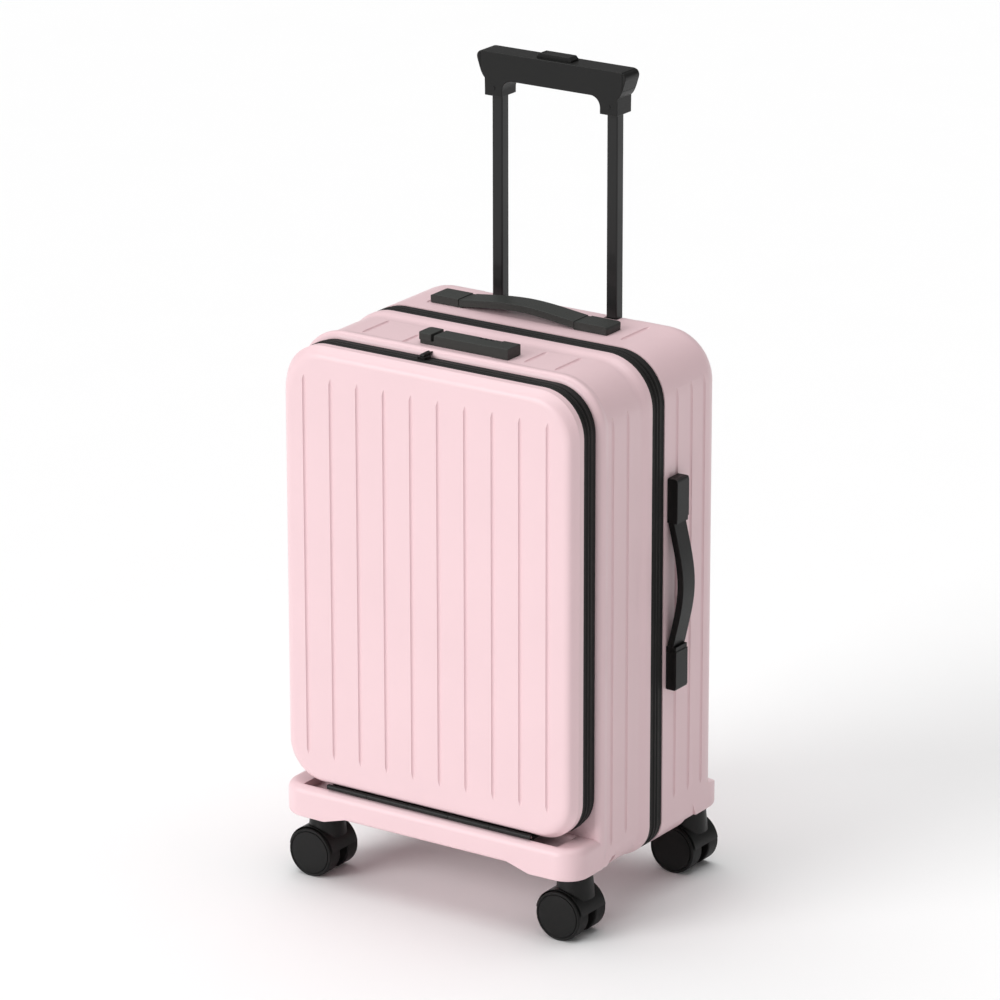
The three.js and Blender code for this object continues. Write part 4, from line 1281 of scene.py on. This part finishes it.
# ---- Trolley ------------------------------------------------------------------------------------
class SUITCASE_OT_trolley_tubes(Operator):
    """Model the two stages of square tube"""

    bl_idname = "suitcase.trolley_tubes"
    bl_label = "Trolley tubes"

    def execute(self, context):
        edge = context.scene.suitcase_grips.tube_edge
        for stage, body, wall in (
            ("trolley", "trolley_upper", 0.001),
            ("middle", "trolley_middle", 0.0009),
        ):
            for side in ("left", "right"):
                node = f"{stage}_tube_{side}"
                low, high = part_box(node)
                tube = block(f"{stage}_stage_{side}", low, high)
                round_edges(tube, lambda e: runs_along(e, Z), edge, 5)
                bore = block(
                    "bore", (low.x + wall, low.y + wall, low.z - 0.001), (
                        high.x - wall,
                        high.y - wall,
                        high.z + 0.001,
                    )
                )
                round_edges(bore, lambda e: runs_along(e, Z), edge - wall * 0.6, 4)
                cut(tube, bore)
                dress(tube, body, "tube_aluminium", finish("tube"), node)
        return {"FINISHED"}


class SUITCASE_OT_trolley_grip(Operator):
    """Model the trolley grip, its end caps, rivets and release button"""

    bl_idname = "suitcase.trolley_grip"
    bl_label = "Trolley grip"

    def execute(self, context):
        sizes = context.scene.suitcase_grips
        low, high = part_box("trolley_grip")
        tube_low, tube_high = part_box("trolley_tube_right")
        leg_middle = (tube_low.x + tube_high.x) / 2 - MIDDLE_X
        leg_in, leg_out = leg_middle - 0.010, leg_middle + 0.010
        underside = high.z - 0.027
        flare = leg_out + 0.0035
        grip = block("trolley_handle_grip", (low.x, low.y, underside), (high.x, high.y, high.z))
        for side in (-1, 1):
            for x in (leg_in, leg_out):
                choose(grip, "FACE", lambda f: True)
                bpy.ops.mesh.bisect(plane_co=(MIDDLE_X + side * x, 0, 0), plane_no=(1, 0, 0))
                leave_edit()

        def under_leg(face):
            return all_at(face, 2, underside) and leg_in < abs(middle(face).x - MIDDLE_X) < leg_out

        choose(grip, "FACE", under_leg)
        bpy.ops.mesh.extrude_region_move(TRANSFORM_OT_translate={"value": (0, 0, low.z - underside)})
        leave_edit()
        end = high.x - MIDDLE_X
        for side in (-1, 1):
            x = MIDDLE_X + side * end
            choose(grip, "VERT", lambda v: abs(v.co.x - x) < NEAR and abs(v.co.z - underside) < NEAR)
            bpy.ops.transform.translate(value=(side * (flare - end), 0, 0.002))
            leave_edit()
        round_edges(
            grip,
            lambda e: runs_along(e, Y)
            and all_at(e, 2, underside)
            and abs(abs(middle(e).x - MIDDLE_X) - leg_in) < NEAR,
            0.011,
            7,
        )
        round_edges(
            grip,
            lambda e: runs_along(e, Y) and abs(abs(middle(e).x - MIDDLE_X) - flare) < NEAR,
            0.0085,
            7,
        )
        round_edges(
            grip,
            lambda e: runs_along(e, Y) and all_at(e, 2, high.z) and abs(middle(e).x - MIDDLE_X) > end - NEAR,
            0.009,
            7,
        )
        round_sharp(grip, sizes.grip_edge, 5, 40)
        button_low, button_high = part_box("trolley_button")
        gap = 0.0004
        well = block(
            "button_well",
            (button_low.x - gap, button_low.y - gap, button_low.z - 0.0045),
            (button_high.x + gap, button_high.y + gap, high.z + 0.002),
        )
        cut(grip, well, tangled=True)
        rivets = []
        for side in (-1, 1):
            x = MIDDLE_X + side * leg_middle
            for y, way in ((low.y, -1), (high.y, 1)):
                head = rod(
                    "rivet",
                    "y",
                    sizes.rivet / 2,
                    (x, y - way * 0.002, low.z + 0.008),
                    (x, y + way * 0.0005, low.z + 0.008),
                    20,
                )
                round_sharp(head, 0.0003, 2)
                rivets.append(head)
        seam = end - 0.0062
        caps = [self.part_off(grip, side, seam) for side in (-1, 1)]
        dress(grip, "trolley_upper", "black_plastic", finish("black"), "trolley_grip", angle=38)
        dress(join(caps, "grip_end_caps"), "trolley_upper", "black_plastic", finish("black"), angle=38)
        dress(join(rivets, "grip_rivets"), "trolley_upper", "black_plastic", finish("black"))
        button = block("release_button", button_low, button_high)
        round_edges(button, lambda e: runs_along(e, Y) and all_at(e, 2, button_high.z), 0.0028, 1)
        choose(button, "FACE", lambda f: all_at(f, 2, button_high.z))
        bpy.ops.mesh.inset(thickness=0.0016, depth=0.0)
        bpy.ops.mesh.inset(thickness=0.0006, depth=-0.0005)
        leave_edit()
        round_sharp(button, 0.0006, 3)
        dress(button, "trolley_release", "black_plastic", finish("black"), "trolley_button")
        return {"FINISHED"}

    def part_off(self, grip, side, seam):
        """Splits an end cap off the grip, with a fine bevelled seam between the two."""
        cap = copy_of(grip, "cap")
        plane_x = MIDDLE_X + side * seam
        for piece, way in ((grip, side), (cap, -side)):
            plane = plane_x - way * 0.00008
            choose(piece, "FACE", lambda f: True)
            bpy.ops.mesh.bisect(
                plane_co=(plane, 0, 0),
                plane_no=(way, 0, 0),
                use_fill=True,
                clear_outer=True,
            )
            leave_edit()
            round_edges(piece, lambda e: all_at(e, 0, plane), 0.0003, 1)
        return cap


# ---- Carry handles ------------------------------------------------------------------------------
def strap_handle(name, span, block_length, width, proud, arch, edge):
    """A strap and its two end blocks, lying along x on z = 0 around the origin."""
    half = span / 2
    inner = half - block_length
    under, thickness = 0.0015, 0.0070
    steps = 18
    strap = block(
        f"{name}_strap",
        (-inner, -width / 2, under),
        (-inner + 0.0004, width / 2, under + thickness),
    )
    choose(strap, "FACE", lambda f: all_at(f, 0, -inner + 0.0004))
    rise = arch - under - thickness
    before = Vector((-inner + 0.0004, 0, 0))
    for step in range(1, steps + 1):
        x = -inner + 2 * inner * step / steps
        share = (1 + math.cos(math.pi * x / inner)) / 2
        place = Vector((x, 0, rise * (0.35 * share + 0.65 * (1 - (x / inner) ** 2))))
        bpy.ops.mesh.extrude_region_move(TRANSFORM_OT_translate={"value": place - before})
        before = place
    leave_edit()
    round_sharp(strap, edge, 4, 40)
    blocks = []
    for side, label in ((-1, "a"), (1, "b")):
        ends = sorted((side * inner, side * half))
        piece = block(f"{name}_end_{label}", (ends[0], -width / 2, 0.0003), (ends[1], width / 2, proud))
        round_edges(
            piece,
            lambda e: runs_along(e, Y) and all_at(e, 2, proud) and side * middle(e).x > half - NEAR,
            0.0034,
            2,
        )
        round_edges(piece, lambda e: runs_along(e, Z) and side * middle(e).x > half - NEAR, 0.0022, 4)
        round_sharp(piece, 0.0009, 3)
        ring = sorted((side * (inner - 0.001), side * (inner + 0.0046)))
        slit = block(
            "slit",
            (ring[0], -width / 2 - 0.001, 0.0014),
            (ring[1], width / 2 + 0.001, proud + 0.001),
        )
        core = block(
            "core", (ring[0] - 0.001, -width / 2 + 0.0007, 0.001), (
                ring[1] + 0.001,
                width / 2 - 0.0007,
                proud - 0.0007,
            )
        )
        cut(slit, core)
        cut(piece, slit, tangled=True)
        room = block(
            "strap_room",
            (ends[0] - 0.001 if side > 0 else ends[0] + 0.006, -width / 2 + 0.0025, 0.0012),
            (ends[1] - 0.006 if side > 0 else ends[1] + 0.001, width / 2 - 0.0025, 0.0078),
        )
        cut(piece, room, tangled=True)
        blocks.append(piece)
        tongue_ends = sorted((side * (inner - 0.004), side * (half - 0.008)))
        tongue = block(
            "tongue", (
                tongue_ends[0],
                -width / 2 + 0.0032,
                under + 0.0002,
            ), (tongue_ends[1], width / 2 - 0.0032, under + 0.0032)
        )
        add(strap, tongue, tangled=True)
    return strap, blocks


class SUITCASE_OT_carry_handles(Operator):
    """Model the top and side carry handles"""

    bl_idname = "suitcase.carry_handles"
    bl_label = "Carry handles"

    def place(self, pieces, matrix):
        for piece in pieces:
            piece.matrix_world = matrix
            settle(piece)

    def execute(self, context):
        edge = context.scene.suitcase_grips.strap_edge
        left_low, left_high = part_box("top_handle_block_left")
        right_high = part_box("top_handle_block_right")[1]
        grip_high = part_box("top_handle_grip")[1]
        strap, blocks = strap_handle(
            "top_handle",
            right_high.x - left_low.x,
            left_high.x - left_low.x,
            left_high.y - left_low.y,
            left_high.z - CASE_TOP,
            grip_high.z - CASE_TOP,
            edge,
        )
        centre = Vector(((left_low.x + right_high.x) / 2, (left_low.y + left_high.y) / 2, CASE_TOP))
        self.place((strap, *blocks), Matrix.Translation(centre))
        dress(strap, "top_handle", "grey_plastic", finish("charcoal"), "top_handle_grip", angle=40)
        for piece, side in zip(blocks, ("left", "right")):
            dress(piece, "back_half", "grey_plastic", finish("charcoal"), f"top_handle_block_{side}")

        lower_low, lower_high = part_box("side_handle_block_lower")
        upper_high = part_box("side_handle_block_upper")[1]
        grip_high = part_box("side_handle_grip")[1]
        wall = BACK_HIGH.x
        strap, blocks = strap_handle(
            "side_handle",
            upper_high.z - lower_low.z,
            lower_high.z - lower_low.z,
            lower_high.y - lower_low.y,
            lower_high.x - wall,
            grip_high.x - wall,
            edge,
        )
        centre = Vector((wall, (lower_low.y + lower_high.y) / 2, (lower_low.z + upper_high.z) / 2))
        turn = Matrix.Rotation(math.pi / 2, 4, "Y")
        self.place((strap, *blocks), Matrix.Translation(centre) @ turn)
        dress(strap, "side_handle", "grey_plastic", finish("black"), "side_handle_grip", angle=40)
        for piece, side in zip(blocks, ("upper", "lower")):
            dress(piece, "back_half", "grey_plastic", finish("black"), f"side_handle_block_{side}")
        return {"FINISHED"}


# ---- Lock and sliders ---------------------------------------------------------------------------
class SUITCASE_OT_lock(Operator):
    """Model the lock on the top of the front half"""

    bl_idname = "suitcase.lock"
    bl_label = "Lock"

    def execute(self, context):
        low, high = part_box("lock_body")
        button_low, button_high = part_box("lock_button")
        floor = CASE_TOP - context.scene.suitcase_shell.panel_depth + 0.0001
        bar_start = button_high.x + 0.003
        block_start = high.x - 0.019
        plate = block(
            "lock_case",
            (low.x + 0.001, low.y + 0.001, floor),
            (high.x, high.y - 0.001, low.z + 0.0018),
        )
        round_edges(plate, lambda e: runs_along(e, Z), 0.003, 4)
        bar = block(
            "bar",
            (bar_start, low.y + 0.0008, floor + 0.0005),
            (block_start - 0.0004, high.y - 0.0002, high.z - 0.0008),
        )
        self.bevel_top(bar, high.z - 0.0008)
        end = block("end", (block_start, low.y, floor + 0.0004), (high.x, high.y, high.z))
        self.bevel_top(end, high.z)
        neck = block(
            "neck",
            (block_start - 0.001, low.y + 0.0018, floor + 0.0005),
            (block_start + 0.001, high.y - 0.0018, high.z - 0.0022),
        )
        add(plate, bar, end, neck)
        self.dial_windows(plate)
        dress(plate, "front_half", "grey_plastic", finish("charcoal"), "lock_body")
        button = block("lock_push_button", (button_low.x, button_low.y, button_low.z), button_high)
        round_edges(button, lambda e: runs_along(e, Z) and middle(e).x < button_low.x + NEAR, 0.004, 5)
        self.bevel_top(button, button_high.z)
        dress(button, "lock_release", "grey_plastic", finish("charcoal"), "lock_button")
        for index in (1, 2, 3):
            self.dial(index)
        return {"FINISHED"}

    def bevel_top(self, piece, top):
        """A light chamfer round a top face, and soft edges."""
        choose(piece, "FACE", lambda f: all_at(f, 2, top))
        bpy.ops.mesh.inset(thickness=0.0010, depth=0.0)
        leave_edit()
        round_edges(piece, lambda e: all(abs(v.co.z - top) < NEAR for v in e.verts) and len(e.link_faces) == 2
                    and min(f.normal.z for f in e.link_faces) < 0.5, 0.0007, 3)

    def dial_windows(self, plate):
        windows = []
        for index in (1, 2, 3):
            low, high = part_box(f"lock_dial_{index}")
            middle_y, middle_z = (low.y + high.y) / 2, (low.z + high.z) / 2
            radius = (high.z - low.z) / 2 + 0.0006
            windows.append(
                rod(
                    "window",
                    "x",
                    radius,
                    (low.x - 0.0003, middle_y, middle_z),
                    (high.x + 0.0003, middle_y, middle_z),
                    24,
                )
            )
        cut(plate, join(windows, "windows"))

    def dial(self, index):
        """A dial with a finger notch every eighteen degrees."""
        node = f"lock_dial_{index}"
        low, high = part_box(node)
        middle_y, middle_z = (low.y + high.y) / 2, (low.z + high.z) / 2
        wheel = rod(
            f"dial_{index}",
            "x",
            (high.z - low.z) / 2,
            (low.x, middle_y, middle_z),
            (high.x, middle_y, middle_z),
            20,
        )
        choose(wheel, "FACE", lambda f: abs(f.normal.x) < 0.5)
        bpy.ops.mesh.inset(thickness=0.0002, depth=-0.00025, use_individual=True)
        leave_edit()
        dress(wheel, f"lock_dial_{index}", "grey_plastic", finish("black"), node)


class SUITCASE_OT_zip_sliders(Operator):
    """Model the zip sliders and their pullers"""

    bl_idname = "suitcase.zip_sliders"
    bl_label = "Zip sliders"

    def execute(self, context):
        low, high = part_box("pocket_zip_slider")
        x = (low.x + high.x) / 2
        body = block(
            "pocket_slider_body",
            (x - 0.0055, low.y, low.z),
            (x + 0.0055, low.y + 0.011, low.z + 0.003),
        )
        round_edges(body, lambda e: runs_along(e, Z), 0.0028, 5)
        bridge = block(
            "bridge",
            (x - 0.0022, low.y + 0.0018, low.z + 0.002),
            (x + 0.0022, low.y + 0.0125, low.z + 0.0052),
        )
        round_edges(bridge, lambda e: runs_along(e, X), 0.0014, 3)
        end = low.y + 0.0195
        puller = block(
            "puller",
            (x - 0.0028, low.y + 0.0095, low.z + 0.0032),
            (x + 0.0028, end, low.z + 0.0050),
        )
        round_edges(puller, lambda e: runs_along(e, Z), 0.0020, 4)
        hole = rod("hole", "z", 0.0012, (x, end - 0.0034, low.z), (x, end - 0.0034, low.z + 0.009), 20)
        add(body, bridge, cut(puller, hole), tangled=True)
        round_sharp(body, 0.0004, 2, 40)
        dress(body, "pocket_slider", "black_plastic", finish("black"), "pocket_zip_slider")

        low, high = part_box("main_zip_slider")
        y = (low.y + high.y) / 2
        body = block("main_slider_body", (low.x, low.y, low.z), (high.x, high.y, low.z + 0.011))
        round_edges(body, lambda e: runs_along(e, X), 0.002, 4)
        puller = block("puller", (low.x, y - 0.0026, low.z + 0.009), (low.x + 0.0021, y + 0.0026, high.z))
        round_edges(puller, lambda e: runs_along(e, X), 0.0018, 4)
        hole = rod(
            "hole",
            "x",
            0.0012,
            (low.x - 0.001, y, high.z - 0.004),
            (low.x + 0.004, y, high.z - 0.004),
            20,
        )
        add(body, cut(puller, hole))
        round_sharp(body, 0.0004, 2, 40)
        dress(body, "main_slider", "black_plastic", finish("black"), "main_zip_slider")
        return {"FINISHED"}


# ---- Casters ------------------------------------------------------------------------------------
class SUITCASE_OT_casters(Operator):
    """Model the four twin-wheel casters"""

    bl_idname = "suitcase.casters"
    bl_label = "Casters"

    def execute(self, context):
        sizes = context.scene.suitcase_casters
        first = self.swivel_point("front_left")
        low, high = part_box("wheel_front_left_a")
        back_low, back_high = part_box("wheel_front_left_b")
        axle = Vector(((low.x + high.x) / 2, 0, (low.z + high.z) / 2))
        wheels = {
            "a": self.wheel("wheel_a", axle, low.y, high.y, sizes),
            "b": self.wheel("wheel_b", axle, back_high.y, back_low.y, sizes),
        }
        fork = self.fork("fork", axle, first, high, back_low, sizes)
        housing = self.housing("housing", first)
        for place in CASTER_PLACES:
            offset = self.swivel_point(place) - first
            half = "front_half" if place.startswith("front") else "back_half"
            body = f"caster_{place}"
            self.copy(
                housing,
                f"housing_{place}",
                offset,
                half,
                "black_plastic",
                "black",
                f"caster_housing_{place}",
            )
            self.copy(fork, f"fork_{place}", offset, body, "black_plastic", "black", f"caster_fork_{place}")
            for side, wheel in wheels.items():
                name = f"{place}_{side}"
                self.copy(
                    wheel,
                    f"tyre_{name}",
                    offset,
                    f"wheel_{name}",
                    "wheel_tread",
                    "wheel",
                    f"wheel_{name}",
                )
        for pattern in (housing, fork, *wheels.values()):
            bpy.data.objects.remove(pattern)
        return {"FINISHED"}

    def swivel_point(self, place):
        low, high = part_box(f"caster_housing_{place}")
        return Vector(((low.x + high.x) / 2, (low.y + high.y) / 2, 0))

    def copy(self, pattern, name, offset, body, slot, material, node):
        dress(copy_of(pattern, name, offset), body, slot, finish(material), node, angle=38)

    def housing(self, name, centre):
        """The cup that the fork swivels in."""
        low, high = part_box("caster_housing_front_left")
        radius = (high.x - low.x) / 2 - 0.0015
        piece = rod(name, "z", radius, (centre.x, centre.y, low.z), (centre.x, centre.y, high.z), 48)
        flange = rod(
            "flange",
            "z",
            radius + 0.0015,
            (centre.x, centre.y, high.z - 0.003),
            (centre.x, centre.y, high.z),
            48,
        )
        add(piece, flange)
        return round_sharp(piece, 0.0007, 2, 40)

    def fork(self, name, axle, swivel, front_inner, back_inner, sizes):
        """The web between the wheels, the hood over them and the neck above."""
        centre_y = (front_inner.y + back_inner.y) / 2
        web = (back_inner.y - front_inner.y) / 2 - 0.0006
        low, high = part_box("caster_fork_front_left")
        hood_half = (high.y - low.y) / 2
        wheel_low, wheel_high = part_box("wheel_front_left_a")
        room = (wheel_high.z - wheel_low.z) / 2 + 0.0012
        hood = rod(
            name,
            "y",
            axle.x - low.x,
            (axle.x, centre_y - hood_half, axle.z),
            (axle.x, centre_y + hood_half, axle.z),
            72,
        )
        cut(hood, *self.wheel_rooms(axle, centre_y, web, room))
        cut(
            hood,
            block(
                "under",
                (axle.x - 0.05, centre_y - 0.03, -0.01),
                (axle.x + 0.05, centre_y + 0.03, axle.z + 0.004),
            ),
        )
        hub = rod("hub", "y", 0.007, (axle.x, centre_y - web, axle.z), (axle.x, centre_y + web, axle.z), 32)
        neck = rod(
            "neck",
            "z",
            0.0172,
            (swivel.x, swivel.y, axle.z + 0.016),
            (swivel.x, swivel.y, high.z),
            48,
        )
        choose(neck, "FACE", lambda f: all_at(f, 2, axle.z + 0.016))
        bpy.ops.transform.resize(value=(1.1, 1.16, 1), center_override=(swivel.x, swivel.y, axle.z))
        leave_edit()
        cut(neck, *self.wheel_rooms(axle, centre_y, web, room))
        add(hood, hub, neck, tangled=True)
        return round_sharp(hood, sizes.hood_edge, 3, 45)

    def wheel_rooms(self, axle, centre_y, web, radius):
        """The round spaces that the wheels turn in."""
        rooms = []
        for side in (-1, 1):
            ends = sorted((centre_y + side * web, centre_y + side * 0.05))
            rooms.append(rod("room", "y", radius, (axle.x, ends[0], axle.z), (axle.x, ends[1], axle.z), 64))
        return rooms

    def wheel(self, name, axle, outer_y, inner_y, sizes):
        """A wheel with a rounded tread, a grooved rim and a slightly domed cap."""
        low, high = sorted((outer_y, inner_y))
        box_low, box_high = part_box("wheel_front_left_a")
        radius = (box_high.z - box_low.z) / 2
        piece = rod(name, "y", radius, (axle.x, low, axle.z), (axle.x, high, axle.z), 72)
        round_edges(piece, lambda e: all_at(e, 1, outer_y), sizes.tread_edge, 6)
        round_edges(piece, lambda e: all_at(e, 1, inner_y), 0.0016, 3)
        choose(piece, "FACE", lambda f: all_at(f, 1, outer_y))
        flat = radius - sizes.tread_edge
        dome = sizes.cap_dome
        for thickness, depth in (
            (max(flat - sizes.cap_radius, 0.0004), -0.0003),
            (0.0004, -0.0006),
            (0.0004, 0.0),
            (0.0005, 0.0009),
            (0.0030, 0.35 * dome),
            (0.0060, 0.25 * dome),
        ):
            bpy.ops.mesh.inset(thickness=thickness, depth=depth)
        leave_edit()
        choose(piece, "FACE", lambda f: all_at(f, 1, inner_y))
        for thickness, depth in ((0.004, 0.0), (0.0008, -0.003), (0.008, 0.0), (0.0005, 0.0015)):
            bpy.ops.mesh.inset(thickness=thickness, depth=depth)
        leave_edit()
        return piece


# ---- Frame pieces that stay ---------------------------------------------------------------------
class SUITCASE_OT_hardware(Operator):
    """Give the hinges, pins, axles and hidden trolley parts their finishes"""

    bl_idname = "suitcase.hardware"
    bl_label = "Hardware"

    def execute(self, context):
        finishes = {
            "black": [
                "main_hinge_leaf_back",
                "main_hinge_leaf_front",
                "lid_hinge_leaf_lid",
                "lid_hinge_leaf_nose",
                "trolley_top_guide",
                "trolley_foot",
            ],
            "tube": ["outer_tube_left", "outer_tube_right"],
            "steel": ["main_hinge_pin", "lid_hinge_pin", "trolley_release_yoke"]
            + [f"caster_axle_{place}" for place in CASTER_PLACES],
        }
        for material, nodes in finishes.items():
            for node in nodes:
                paint(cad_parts[node], finish(material))
        return {"FINISHED"}


# ---- Panel and main -----------------------------------------------------------------------------
STEPS = [
    SUITCASE_OT_stage,
    SUITCASE_OT_lid,
    SUITCASE_OT_front_shell,
    SUITCASE_OT_back_shell,
    SUITCASE_OT_main_zip,
    SUITCASE_OT_pocket_zip,
    SUITCASE_OT_linings,
    SUITCASE_OT_trolley_tubes,
    SUITCASE_OT_trolley_grip,
    SUITCASE_OT_carry_handles,
    SUITCASE_OT_lock,
    SUITCASE_OT_zip_sliders,
    SUITCASE_OT_casters,
    SUITCASE_OT_hardware,
]
SETTINGS = {
    "suitcase_shell": ShellSizes,
    "suitcase_lid": LidSizes,
    "suitcase_zips": ZipSizes,
    "suitcase_grips": GripSizes,
    "suitcase_casters": CasterSizes,
    "suitcase_colours": Colours,
    "suitcase_stage": StageSettings,
}


class SUITCASE_PT_panel(Panel):
    """The suitcase's pieces, in the order in which they are made"""

    bl_label = "Suitcase"
    bl_idname = "SUITCASE_PT_panel"
    bl_space_type = "VIEW_3D"
    bl_region_type = "UI"
    bl_category = "Suitcase"

    def draw(self, context):
        for step in STEPS:
            self.layout.operator(step.bl_idname)


def register():
    for name, group in SETTINGS.items():
        bpy.utils.register_class(group)
        setattr(bpy.types.Scene, name, PointerProperty(type=group))
    for cls in (*STEPS, SUITCASE_PT_panel):
        bpy.utils.register_class(cls)


def unregister():
    for cls in (SUITCASE_PT_panel, *reversed(STEPS)):
        bpy.utils.unregister_class(cls)
    for name, group in SETTINGS.items():
        delattr(bpy.types.Scene, name)
        bpy.utils.unregister_class(group)


def main():
    register()
    for step in STEPS:
        getattr(bpy.ops.suitcase, step.bl_idname.split(".")[1])()


if __name__ == "__main__":
    main()
